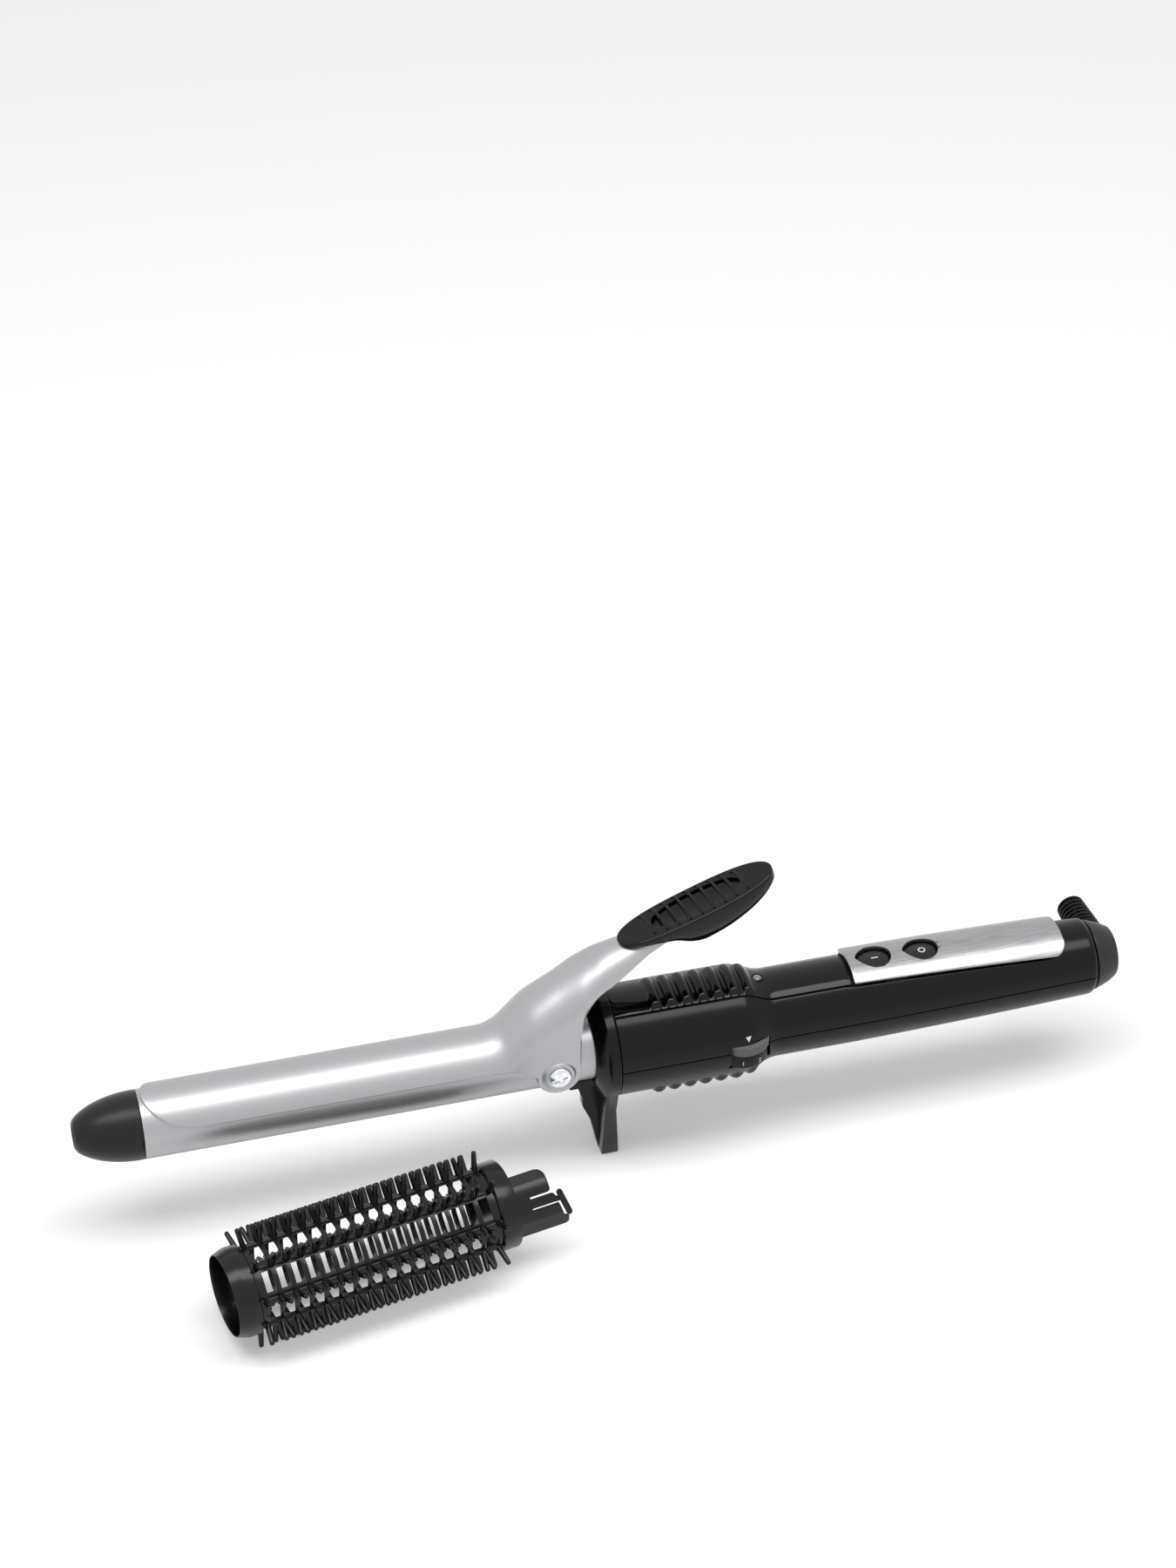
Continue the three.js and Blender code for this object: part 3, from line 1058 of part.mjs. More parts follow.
function bristleStrip(number) {
  const angle = BRUSH_FIRST_ROW + (number - 1) * BRISTLE_ROW_STEP;
  const base = BRUSH_CAGE_RADIUS + GAP;
  const crown = base + STRIP_BAR_HEIGHT;
  const half = STRIP_BAR_WIDTH / 2;
  const solids = [block(BRUSH_RING_LENGTH + GAP, BRUSH_COLLAR_FRONT - GAP, -half, half, base, crown)];
  const bristle = (station, lean) => {
    const length = (BRISTLE_TIP_RADIUS - crown) / Math.cos(THREE.MathUtils.degToRad(lean)) + BRISTLE_SINK;
    const cone = new THREE.CylinderGeometry(BRISTLE_TOP_RADIUS, BRISTLE_RADIUS, length, 4);
    const upright = solid(cone.rotateX(Math.PI / 2).translate(0, 0, length / 2 - BRISTLE_SINK));
    const paired = station > 0 && station < BRISTLE_STATIONS - 1;
    const splay = paired ? Math.sign(lean) * BRISTLE_SPLAY : 0;
    const x = BRISTLE_START + station * BRISTLE_PITCH + splay;
    return upright.rotate([0, lean, 0]).translate([x, 0, crown]);
  };
  for (let station = 0; station < BRISTLE_STATIONS; station += 1) {
    if (station < BRISTLE_STATIONS - 1) solids.push(bristle(station, -BRISTLE_LEAN));
    if (station > 0) solids.push(bristle(station, BRISTLE_LEAN));
  }
  return piece(`bristle_strip_${number}`, turnedTo(joined(solids), angle), brushBlack);
}

function brushLatch() {
  const root = LATCH_ROOT + GAP;
  const band = ring(root, LATCH_FINGER_REAR, BRUSH_BORE_RADIUS, BRUSH_CAGE_RADIUS);
  const lane = block(root, LATCH_FINGER_REAR, -LATCH_HALF_WIDTH, LATCH_HALF_WIDTH, 0, 20);
  const finger = band.intersect(turnedTo(lane, LATCH_ANGLE));
  const bar = ring(root, 2 * LATCH_BAR_X - root, BRUSH_BORE_RADIUS, BRUSH_CAGE_RADIUS + LATCH_BAR_RISE)
    .intersect(latchBarZone(0, 0));
  return piece("brush_latch", finger.add(bar), brushBlack);
}

// ---- Assembly ----------------------------------------------------------------------------------

const tong = new THREE.Group();
tong.position.set(-SOLE_MIDDLE, 0, STAND_HEIGHT);
tong.add(
  barrelTube(),
  barrelTip(),
  heaterPlate("heater_plate_upper", 1),
  heaterPlate("heater_plate_lower", -1),
  heater(),
  thermalFuse(),
  lead("heater_lead_live", FUSE_FRONT + FUSE_LENGTH + GAP, -LEAD_SPREAD, 4.4, redWire),
  lead("heater_lead_neutral", FUSE_FRONT, LEAD_SPREAD, 6.4, blueWire),
  pivotBlock(),
  pivotScrew("pivot_screw_near", -1),
  pivotScrew("pivot_screw_far", 1),
  clampSpring(),
  clampShell(),
  thumbPad(),
  collarStand(),
  barrelBush(),
  handleShellUpper(),
  handleShellLower(),
  topCover(),
  controlPlate(),
  caseScrew("case_screw_front", FRONT_SCREW_X),
  caseScrew("case_screw_rear", REAR_SCREW_X),
  circuitBoard(),
  tactSwitch("switch_on", BUTTON_ON_X),
  tactSwitch("switch_off", BUTTON_OFF_X),
  pushButton("button_on", BUTTON_ON_X),
  pushButton("button_off", BUTTON_OFF_X),
  heatControl(),
  temperatureDial(),
  indicatorLed(),
  swivelCap(),
  swivelCore(),
  slipRing("slip_ring_live", LIVE_RING_X, LIVE_RING_RADIUS),
  slipRing("slip_ring_neutral", NEUTRAL_RING_X, NEUTRAL_RING_RADIUS),
  contactSpring("contact_spring_live", 1, LIVE_RING_X, LIVE_RING_RADIUS),
  contactSpring("contact_spring_neutral", -1, NEUTRAL_RING_X, NEUTRAL_RING_RADIUS),
  retainingClip(),
  cordBoot(),
);

const brush = new THREE.Group();
brush.position.set(BRUSH_X - SOLE_MIDDLE, BRUSH_Y, BRUSH_AXIS_HEIGHT);
brush.rotation.z = THREE.MathUtils.degToRad(BRUSH_YAW);
brush.add(brushSleeve(), brushLatch());
for (let number = 1; number <= BRUSH_ROWS; number += 1) {
  brush.add(bristleStrip(number));
}

const curlingTong = new THREE.Group();
curlingTong.add(tong, brush);

export default curlingTong;
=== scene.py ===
# %% [markdown]
# # A curling tong and its brush sleeve
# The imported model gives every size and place, and this script gives the finish. We model each visible
# piece in millimetres about the barrel's axis, where its numbers are easy to read, and then settle it
# into the model's frame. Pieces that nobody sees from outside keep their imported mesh.

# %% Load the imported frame
import bpy
import json
import math
from mathutils import Matrix, Vector


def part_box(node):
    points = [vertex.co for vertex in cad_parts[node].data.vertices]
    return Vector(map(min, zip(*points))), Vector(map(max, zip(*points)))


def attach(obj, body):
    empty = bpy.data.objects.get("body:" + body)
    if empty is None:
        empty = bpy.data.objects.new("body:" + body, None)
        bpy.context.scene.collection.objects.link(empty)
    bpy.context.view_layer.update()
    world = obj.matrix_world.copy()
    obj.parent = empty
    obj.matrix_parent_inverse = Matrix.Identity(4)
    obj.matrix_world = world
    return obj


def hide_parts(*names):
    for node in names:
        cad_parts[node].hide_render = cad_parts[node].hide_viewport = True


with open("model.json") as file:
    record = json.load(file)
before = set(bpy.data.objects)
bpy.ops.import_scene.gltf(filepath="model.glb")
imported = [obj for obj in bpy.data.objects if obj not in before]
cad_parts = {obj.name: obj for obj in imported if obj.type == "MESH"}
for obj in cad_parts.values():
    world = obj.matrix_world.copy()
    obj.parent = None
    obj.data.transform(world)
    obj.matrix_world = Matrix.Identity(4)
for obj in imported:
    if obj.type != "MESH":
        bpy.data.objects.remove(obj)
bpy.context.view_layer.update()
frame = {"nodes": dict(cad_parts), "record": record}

# %% [markdown]
# ## Where the tong and the brush lie
# The barrel's axis is the line that almost every piece is turned about. Its height is the middle of the
# barrel's box, and the handle's rear end fixes the place along it. The brush lies beside the barrel on
# its bristles, turned a little, and has an axis of its own that starts at its front ring.

# %% Places of the two axes
MM = 0.001
HANDLE_REAR = 138.0        # rear end of the handle, from the tong's zero
BRUSH_YAW = 10.7           # degrees
BRUSH_RING = 12.2          # outer radius of the brush's rings
BRUSH_NOSE = 11.4          # radius at the front end, before its taper
BRUSH_NOSE_LENGTH = 3.0

barrel_low, barrel_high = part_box("barrel_tube")
handle_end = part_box("handle_shell_upper")[1].x
BARREL = (barrel_high.z - barrel_low.z) / 2 / MM
axis_height = (barrel_high.z + barrel_low.z) / 2
TONG = Matrix.Translation((handle_end - HANDLE_REAR * MM, 0, axis_height)) @ Matrix.Scale(MM, 4)

sleeve_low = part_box("brush_sleeve")[0]
brush_height = (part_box("bristle_strip_1")[1].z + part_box("bristle_strip_5")[0].z) / 2
yaw = math.radians(BRUSH_YAW)
ring_side = (BRUSH_RING * math.cos(yaw) - BRUSH_NOSE_LENGTH * math.sin(yaw)) * MM
ring_back = BRUSH_NOSE * MM * math.sin(yaw)
BRUSH = (
    Matrix.Translation((sleeve_low.x + ring_back, sleeve_low.y + ring_side, brush_height))
    @ Matrix.Rotation(yaw, 4, "Z")
    @ Matrix.Scale(MM, 4)
)
print("barrel radius", round(BARREL, 2), "mm, axis", round(axis_height / MM, 2), "mm up")

# %% [markdown]
# ## Camera
# The camera stands off to the left and looks down on the object with a long lens, as for a catalogue
# picture. We give its direction as two angles and its distance from a point above the tong.

# %% Camera
CAMERA_AZIMUTH = -15.19
CAMERA_ELEVATION = 36.82
CAMERA_DISTANCE = 0.902
CAMERA_TARGET = Vector((-0.0052, 0, 0.127))

azimuth = math.radians(CAMERA_AZIMUTH)
elevation = math.radians(CAMERA_ELEVATION)
away = Vector((
    math.sin(azimuth) * math.cos(elevation),
    -math.cos(azimuth) * math.cos(elevation),
    math.sin(elevation),
))
bpy.ops.object.select_all(action="DESELECT")
bpy.ops.object.camera_add(
    location=CAMERA_TARGET + away * CAMERA_DISTANCE,
    rotation=(math.pi / 2 - elevation, 0, azimuth),
)
camera = bpy.context.object
camera.data.lens = 80
camera.data.sensor_width = 36
camera.data.clip_start = 0.01
bpy.context.scene.camera = camera
bpy.context.scene.view_settings.view_transform = "Standard"
print("camera at", tuple(round(v, 3) for v in camera.location))

# %% [markdown]
# ## Studio
# A catalogue picture is taken on a white sweep under one long softbox. The softbox hangs almost straight
# above the tong and lies along it, so that the round metal carries one broad white streak. The world
# lights the object as a plain grey fill. Only the camera and the reflections in metal and plastic see the
# world as white and the floor a little brighter, and the floor keeps the shadow.

# %% Lamps and world
SOFTBOX_AZIMUTH = -6
SOFTBOX_ELEVATION = 80.0
SOFTBOX_DISTANCE = 1.2
SOFTBOX_SIZE = (1.7, 0.5)
SOFTBOX_WATTS = 12.5
FILL = 0.35


def softbox(name, azimuth, elevation, distance, size, watts):
    """An area lamp that looks at the middle of the barrel's axis."""
    azimuth, elevation = math.radians(azimuth), math.radians(elevation)
    out = Vector((
        math.sin(azimuth) * math.cos(elevation),
        -math.cos(azimuth) * math.cos(elevation),
        math.sin(elevation),
    ))
    bpy.ops.object.light_add(type="AREA", location=out * distance + Vector((0, 0, axis_height)))
    lamp = bpy.context.object
    lamp.name = name
    lamp.rotation_euler = (math.pi / 2 - elevation, 0, azimuth)
    lamp.data.shape = "RECTANGLE"
    lamp.data.size, lamp.data.size_y = size
    lamp.data.energy = watts
    return lamp


def background_rays(tree):
    """Socket that is 1 for the rays that see the background: camera, glossy and transmission rays."""
    rays = tree.nodes.new("ShaderNodeLightPath")
    either = tree.nodes.new("ShaderNodeMath")
    either.operation = "MAXIMUM"
    any_ray = tree.nodes.new("ShaderNodeMath")
    any_ray.operation = "MAXIMUM"
    tree.links.new(rays.outputs["Is Camera Ray"], either.inputs[0])
    tree.links.new(rays.outputs["Is Glossy Ray"], either.inputs[1])
    tree.links.new(either.outputs[0], any_ray.inputs[0])
    tree.links.new(rays.outputs["Is Transmission Ray"], any_ray.inputs[1])
    return any_ray.outputs[0]


softbox("softbox_main", SOFTBOX_AZIMUTH, SOFTBOX_ELEVATION, SOFTBOX_DISTANCE, SOFTBOX_SIZE, SOFTBOX_WATTS)

world = bpy.data.worlds.new("studio")
bpy.context.scene.world = world
world.use_nodes = True
tree = world.node_tree
tree.nodes.clear()
pick = tree.nodes.new("ShaderNodeMix")
pick.data_type = "RGBA"
pick.inputs["A"].default_value = (FILL, FILL, FILL, 1)
pick.inputs["B"].default_value = (1, 1, 1, 1)
sky = tree.nodes.new("ShaderNodeBackground")
out = tree.nodes.new("ShaderNodeOutputWorld")
tree.links.new(background_rays(tree), pick.inputs["Factor"])
tree.links.new(pick.outputs["Result"], sky.inputs["Color"])
tree.links.new(sky.outputs["Background"], out.inputs["Surface"])

# %% Floor
FLOOR_GLOW = 0.3
PAPER = 0.88

bpy.ops.object.select_all(action="DESELECT")
bpy.ops.mesh.primitive_plane_add(size=8)
floor = bpy.context.object
floor.name = "floor"
paper = bpy.data.materials.new("white_paper")
paper.use_nodes = True
tree = paper.node_tree
tree.nodes.clear()
strength = tree.nodes.new("ShaderNodeMath")
strength.operation = "MULTIPLY"
strength.inputs[1].default_value = FLOOR_GLOW
diffuse = tree.nodes.new("ShaderNodeBsdfDiffuse")
diffuse.inputs["Color"].default_value = (PAPER, PAPER, PAPER, 1)
glow = tree.nodes.new("ShaderNodeEmission")
both = tree.nodes.new("ShaderNodeAddShader")
out = tree.nodes.new("ShaderNodeOutputMaterial")
tree.links.new(background_rays(tree), strength.inputs[0])
tree.links.new(strength.outputs[0], glow.inputs["Strength"])
tree.links.new(diffuse.outputs[0], both.inputs[0])
tree.links.new(glow.outputs[0], both.inputs[1])
tree.links.new(both.outputs[0], out.inputs["Surface"])
floor.data.materials.append(paper)
print("floor laid")

# %% [markdown]
# ## Finishes
# Every finish here is one shader with a fine grain over it. The grain reads the object's own
# coordinates, so it stays put when a piece moves. A stretch turns the grain into brushed lines, and the
# same noise can shift the colour or the roughness a little, as real paint and moulded plastic do.


# %% A finish with a grain
def finish(name, color, roughness, metallic=0.0, grain=1500.0, depth=0.02, spread=0.06,
           stretch=(1, 1, 1), shade=0.12, specular=0.5):
    """Principled shader. grain is in cycles per metre, depth is the bump in millimetres."""
    material = bpy.data.materials.new(name)
    material.use_nodes = True
    tree = material.node_tree
    shader = tree.nodes["Principled BSDF"]
    shader.inputs["Metallic"].default_value = metallic
    shader.inputs["Specular IOR Level"].default_value = specular
    place = tree.nodes.new("ShaderNodeTexCoord")
    turn = tree.nodes.new("ShaderNodeMapping")
    turn.inputs["Scale"].default_value = stretch
    noise = tree.nodes.new("ShaderNodeTexNoise")
    noise.inputs["Scale"].default_value = grain
    noise.inputs["Detail"].default_value = 3
    tree.links.new(place.outputs["Object"], turn.inputs["Vector"])
    tree.links.new(turn.outputs["Vector"], noise.inputs["Vector"])
    tone = tree.nodes.new("ShaderNodeValToRGB")
    tone.color_ramp.elements[0].position = 0.35
    tone.color_ramp.elements[1].position = 0.65
    tone.color_ramp.elements[0].color = (*[c * (1 - shade) for c in color], 1)
    tone.color_ramp.elements[1].color = (*[min(c * (1 + shade), 1) for c in color], 1)
    tree.links.new(noise.outputs["Fac"], tone.inputs["Fac"])
    tree.links.new(tone.outputs["Color"], shader.inputs["Base Color"])
    rough = tree.nodes.new("ShaderNodeMapRange")
    rough.inputs["To Min"].default_value = max(roughness - spread, 0.02)
    rough.inputs["To Max"].default_value = roughness + spread
    tree.links.new(noise.outputs["Fac"], rough.inputs["Value"])
    tree.links.new(rough.outputs["Result"], shader.inputs["Roughness"])
    bump = tree.nodes.new("ShaderNodeBump")
    bump.inputs["Strength"].default_value = 1.0
    bump.inputs["Distance"].default_value = depth * MM
    tree.links.new(noise.outputs["Fac"], bump.inputs["Height"])
    tree.links.new(bump.outputs["Normal"], shader.inputs["Normal"])
    return material


silver_coat = finish("silver_coat", (0.44, 0.443, 0.455), 0.38, 0.92, 7000, 0.0025, 0.05, shade=0.10)
gloss_black = finish("gloss_black", (0.002, 0.002, 0.002), 0.08, 0, 300, 0.001, 0.03, specular=0.26)
satin_black = finish("satin_black", (0.002, 0.002, 0.002), 0.20, 0, 2600, 0.002, 0.05, specular=0.22)
tip_plastic = finish("tip_plastic", (0.014, 0.014, 0.015), 0.32, 0, 1800, 0.004, 0.06, specular=0.25)
zinc = finish("zinc_screw", (0.80, 0.82, 0.86), 0.20, 1, 900, 0.010, 0.06)
brushed = finish("brushed_plate", (0.36, 0.36, 0.37), 0.30, 1, 5200, 0.012, 0.10, (0.012, 1, 1), 0.18)
button_grey = finish("button_grey", (0.012, 0.012, 0.013), 0.32, 0, 1800, 0.008, 0.06, specular=0.25)
dial_black = finish("dial_black", (0.004, 0.004, 0.004), 0.30, 0, 1800, 0.008, 0.06, specular=0.2)
dial_grey = finish("dial_grey", (0.13, 0.13, 0.135), 0.35, 0, 1800, 0.008, 0.06)
boot_rubber = finish("boot_rubber", (0.005, 0.005, 0.005), 0.50, 0, 1600, 0.012, 0.06, specular=0.2)
brush_plastic = finish("brush_plastic", (0.003, 0.003, 0.003), 0.22, 0, 1200, 0.002, 0.05, specular=0.34)
print_white = finish("print_white", (0.82, 0.82, 0.82), 0.5, 0, 2500, 0.002, 0.03, shade=0.03)
print(len(bpy.data.materials), "finishes so far")

# %% [markdown]
# ## Helpers for shaping
# A turned piece starts as a line drawn point by point and spun about the axis. A flat piece starts as a
# closed outline that is filled and pulled up. A bent sheet starts as a grid whose points are laid on the
# sheet's formula. All three are modelled with the same edit mode operators that the menus offer.


# %% Drawing, spinning and pulling
def activate(piece):
    bpy.ops.object.select_all(action="DESELECT")
    piece.select_set(True)
    bpy.context.view_layer.objects.active = piece


def edit(piece, mode="VERT"):
    activate(piece)
    bpy.ops.object.mode_set(mode="EDIT")
    bpy.ops.mesh.select_mode(type=mode)
    bpy.ops.mesh.select_all(action="SELECT")


def leave():
    bpy.ops.object.mode_set(mode="OBJECT")


def chain(name, points):
    """Edges drawn from point to point. The object is left in edit mode with everything selected."""
    bpy.ops.object.select_all(action="DESELECT")
    bpy.ops.mesh.primitive_plane_add(size=1)
    piece = bpy.context.object
    piece.name = name
    edit(piece)
    bpy.ops.mesh.merge(type="CENTER")
    bpy.ops.transform.translate(value=points[0])
    for here, there in zip(points, points[1:]):
        step = Vector(there) - Vector(here)
        bpy.ops.mesh.extrude_region_move(TRANSFORM_OT_translate={"value": step})
    bpy.ops.mesh.select_all(action="SELECT")
    return piece


def spun(name, profile, sides=96):
    """A profile of (x, radius) points, spun about the X axis and closed."""
    piece = chain(name, [(x, 0, r) for x, r in profile])
    bpy.ops.mesh.spin(steps=sides, angle=2 * math.pi, center=(0, 0, 0), axis=(1, 0, 0))
    bpy.ops.mesh.select_all(action="SELECT")
    bpy.ops.mesh.remove_doubles(threshold=0.002)
    bpy.ops.mesh.normals_make_consistent(inside=False)
    leave()
    return piece


PLANES = {
    "plan": (lambda a, b, c: (a, b, c), (0, 0, 1)),
    "side": (lambda a, b, c: (a, c, b), (0, 1, 0)),
    "front": (lambda a, b, c: (c, a, b), (1, 0, 0)),
}


def pulled(name, outline, low, high, plane="plan"):
    """A closed outline, filled and pulled from low to high square to its plane."""
    place, normal = PLANES[plane]
    piece = chain(name, [place(a, b, low) for a, b in outline])
    bpy.ops.mesh.edge_face_add()
    bpy.ops.mesh.extrude_region_move(
        TRANSFORM_OT_translate={"value": Vector(normal) * (high - low)}
    )
    bpy.ops.mesh.select_all(action="SELECT")
    bpy.ops.mesh.normals_make_consistent(inside=False)
    leave()
    return piece


def laid(name, rows, columns, place):
    """A grid whose points are laid on a surface by place(u, v), with u and v from 0 to 1."""
    bpy.ops.object.select_all(action="DESELECT")
    bpy.ops.mesh.primitive_grid_add(x_subdivisions=rows, y_subdivisions=columns, size=2)
    piece = bpy.context.object
    piece.name = name
    for vertex in piece.data.vertices:
        vertex.co = place((vertex.co.x + 1) / 2, (vertex.co.y + 1) / 2)
    edit(piece)
    bpy.ops.mesh.remove_doubles(threshold=0.002)
    bpy.ops.mesh.normals_make_consistent(inside=False)
    leave()
    return piece


def arc(cx, cy, radius, start, end, steps):
    """Points along an arc, with its angles in degrees."""
    turn = [math.radians(start + (end - start) * i / steps) for i in range(steps + 1)]
    return [(cx + radius * math.cos(a), cy + radius * math.sin(a)) for a in turn]


def bezier(a, b, c, d, steps):
    """Points along a cubic curve, without its first point."""
    points = []
    for i in range(1, steps + 1):
        t = i / steps
        s = 1 - t
        mix = (s ** 3, 3 * s * s * t, 3 * s * t * t, t ** 3)
        points.append(tuple(sum(w * p[k] for w, p in zip(mix, (a, b, c, d))) for k in range(2)))
    return points


# %% Thickness, cuts, rounding and settling
def apply(piece, kind, **settings):
    activate(piece)
    modifier = piece.modifiers.new(kind.lower(), kind)
    for key, value in settings.items():
        setattr(modifier, key, value)
    bpy.ops.object.modifier_apply(modifier=modifier.name)
    return piece


def thicken(piece, thickness):
    return apply(piece, "SOLIDIFY", thickness=thickness, offset=-1, use_even_offset=True)


def carve(piece, tool, operation="DIFFERENCE"):
    apply(piece, "BOOLEAN", object=tool, operation=operation, solver="EXACT")
    bpy.data.objects.remove(tool, do_unlink=True)
    return piece


def soften(piece, width, segments=3, angle=35, clamp=True):
    return apply(piece, "BEVEL", width=width, segments=segments, limit_method="ANGLE",
                 angle_limit=math.radians(angle), use_clamp_overlap=clamp)


def smooth(piece, angle=32):
    activate(piece)
    bpy.ops.object.shade_smooth_by_angle(angle=math.radians(angle))
    return piece


def placed(piece, matrix):
    """Turns and moves a piece, and applies that to its mesh."""
    activate(piece)
    piece.matrix_world = matrix
    bpy.ops.object.transform_apply(location=True, rotation=True, scale=True)
    return piece


def copied(piece, name):
    twin = piece.copy()
    twin.data = piece.data.copy()
    twin.name = name
    bpy.context.collection.objects.link(twin)
    return twin


def joined(pieces, name):
    activate(pieces[0])
    for piece in pieces:
        piece.select_set(True)
    bpy.ops.object.join()
    pieces[0].name = name
    return pieces[0]


def settle(piece, home, body, slot, material, *nodes):
    """Puts a piece into the model's frame, on its body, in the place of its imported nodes."""
    placed(piece, home @ piece.matrix_world)
    if material:
        piece.data.materials.clear()
        piece.data.materials.append(material)
    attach(piece, body)
    if nodes:
        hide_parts(*nodes)
    print(f"{piece.name}: {len(piece.data.polygons)} faces on {body}")
    return piece


# %% [markdown]
# ## Barrel and tip
# The barrel is a plain tube, so a closed profile is spun once. The plastic tip is a blunt bullet with a
# small round recess in its face. Its flank follows one formula, and a shallow groove at its root leaves
# the fine dark seam where it meets the barrel.

# %% Barrel
BARREL_FRONT = -131.6
BARREL_REAR = 14.0
BARREL_WALL = 0.8

inner = BARREL - BARREL_WALL
barrel = spun("barrel", [
    (BARREL_FRONT, inner), (BARREL_FRONT, BARREL - 0.25), (BARREL_FRONT + 0.07, BARREL - 0.07),
    (BARREL_FRONT + 0.25, BARREL), (-60, BARREL), (BARREL_REAR, BARREL), (BARREL_REAR, inner),
    (BARREL_FRONT, inner),
], 128)
smooth(barrel)
settle(barrel, TONG, "handle", "barrel_coating", silver_coat, "barrel_tube")

# %% Tip
TIP_LENGTH = 17.1
TIP_FACE_X = -149.6
TIP_BLUNT = 0.83           # how far the flank has closed at the face
TIP_RECESS = 3.1
TIP_RECESS_DEPTH = 3.0
TIP_SPIGOT_REAR = -124.5

flank = []
for i in range(33):
    t = 1 - i / 32
    flank.append((TIP_FACE_X + TIP_LENGTH * (1 - t), BARREL * math.sqrt(1 - TIP_BLUNT * t * t)))
face = flank[0][1]
floor_x = TIP_FACE_X + TIP_RECESS_DEPTH
tip = spun("tip", [
    (floor_x, 0), (floor_x, TIP_RECESS - 0.4), (floor_x - 0.4, TIP_RECESS),
    (TIP_FACE_X + 0.35, TIP_RECESS), (TIP_FACE_X + 0.1, TIP_RECESS + 0.1),
    (TIP_FACE_X, TIP_RECESS + 0.35), (TIP_FACE_X + 0.08, face - 0.3), *flank[1:],
    (BARREL_FRONT - 0.3, BARREL), (BARREL_FRONT - 0.1, BARREL - 0.12),
    (BARREL_FRONT - 0.05, inner - 0.1), (TIP_SPIGOT_REAR, inner - 0.1), (TIP_SPIGOT_REAR, 0),
], 128)
smooth(tip, 40)
settle(tip, TONG, "handle", "tip_plastic", tip_plastic, "barrel_tip")

# %% [markdown]
# ## Clamp
# The clamp is one sheet of metal. Over the barrel it is half round, at the pivot it drops into two flat
# ears, and behind them it narrows into the lever. We lay a grid on it line by line: each line starts on
# the lower edge, climbs the straight side and closes over the top as a round arch. The thickness and the
# rolled edges come afterwards, as on sheet metal.

# %% Lines of the clamp
CLAMP_THICKNESS = 0.9
CLAMP_OUTER = 10.6
CLAMP_FRONT = -130.8
CLAMP_CORNER = 15.5        # how far back the rounded front corners reach
CLAMP_EDGE = 3.8           # lower edge of the jaw above the axis
PIVOT_X = -18.6
EAR = 6.2

SPINE = [(CLAMP_FRONT, 10.6), (-37, 10.6), (-33.5, 11.8), (-30, 15.2), (-26, 19.2), (-21, 22.6),
         (-16, 25.6), (-11.4, 28.4), (-8, 30.3), (-4, 32.4), (2, 34.4), (8, 36.4), (14, 38.6),
         (32, 45.7)]
HALF_WIDTH = [(CLAMP_FRONT, 10.6), (-11.4, 10.6), (-8, 9.6), (-4, 8.6), (2, 7.2), (8, 5.6),
              (14, 4.9), (32, 4.4)]


def flowing(points, x):
    """Smooth curve through the points that never overshoots them."""
    count = len(points)
    rise = [(points[i + 1][1] - points[i][1]) / (points[i + 1][0] - points[i][0])
            for i in range(count - 1)]
    tangent = [rise[0]]
    for a, b in zip(rise, rise[1:]):
        tangent.append(2 * a * b / (a + b) if a * b > 0 else 0)
    tangent.append(rise[-1])
    i = max(k for k in range(count - 1) if points[k][0] <= x or k == 0)
    (x0, z0), (x1, z1) = points[i], points[i + 1]
    width = x1 - x0
    t = min(max((x - x0) / width, 0), 1)
    return (z0 * (1 + 2 * t) * (1 - t) ** 2 + tangent[i] * width * t * (1 - t) ** 2
            + z1 * t * t * (3 - 2 * t) + tangent[i + 1] * width * t * t * (t - 1))


def along(a, b, steps):
    """Points between two (x, z, spine x) stations, without the first."""
    return [tuple(p + (q - p) * i / steps for p, q in zip(a, b)) for i in range(1, steps + 1)]


def clamp_lines():
    """The (x, z) start of each line on the lower edge, and the x where it meets the spine."""
    edge = CLAMP_EDGE
    lines = [(CLAMP_FRONT, edge, CLAMP_FRONT)]
    lines += along(lines[-1], (-105, edge, -105), 16)
    lines += along(lines[-1], (-40, edge, -40), 12)
    lines += along(lines[-1], (-34, edge, -33.5), 5)
    for i in range(1, 9):
        t = i / 8
        x = (1 - t) ** 2 * -34 + 2 * t * (1 - t) * -27.8 + t * t * (PIVOT_X - EAR)
        z = (1 - t) ** 2 * edge + 2 * t * (1 - t) * edge
        lines.append((x, z, -33.5 + 7.5 * t))
    for i in range(1, 25):
        turn = math.pi * (1 + i / 24)
        lines.append((PIVOT_X + EAR * math.cos(turn), EAR * math.sin(turn), -26 + 10 * i / 24))
    lines += along(lines[-1], (PIVOT_X + EAR, 11, -12), 6)
    for i in range(1, 13):
        t = i / 12
        x = (1 - t) ** 2 * -12.4 + 2 * t * (1 - t) * -11.6 + t * t * -3.3
        z = (1 - t) ** 2 * 11 + 2 * t * (1 - t) * 22.5 + t * t * 25.6
        lines.append((x, z, -12 + 9.5 * t))
    lines += along(lines[-1], (8, 32.6, 8), 8)
    lines += along(lines[-1], (18.2, 37.6, 18), 5)
    lines += along(lines[-1], (32, 43.05, 32), 4)
    return lines


clamp_stations = clamp_lines()
CORNER_END = 16            # line where the rounded front has faded out
print(len(clamp_stations), "lines along the clamp")

# %% Clamp
CLAMP_COLUMNS = 64


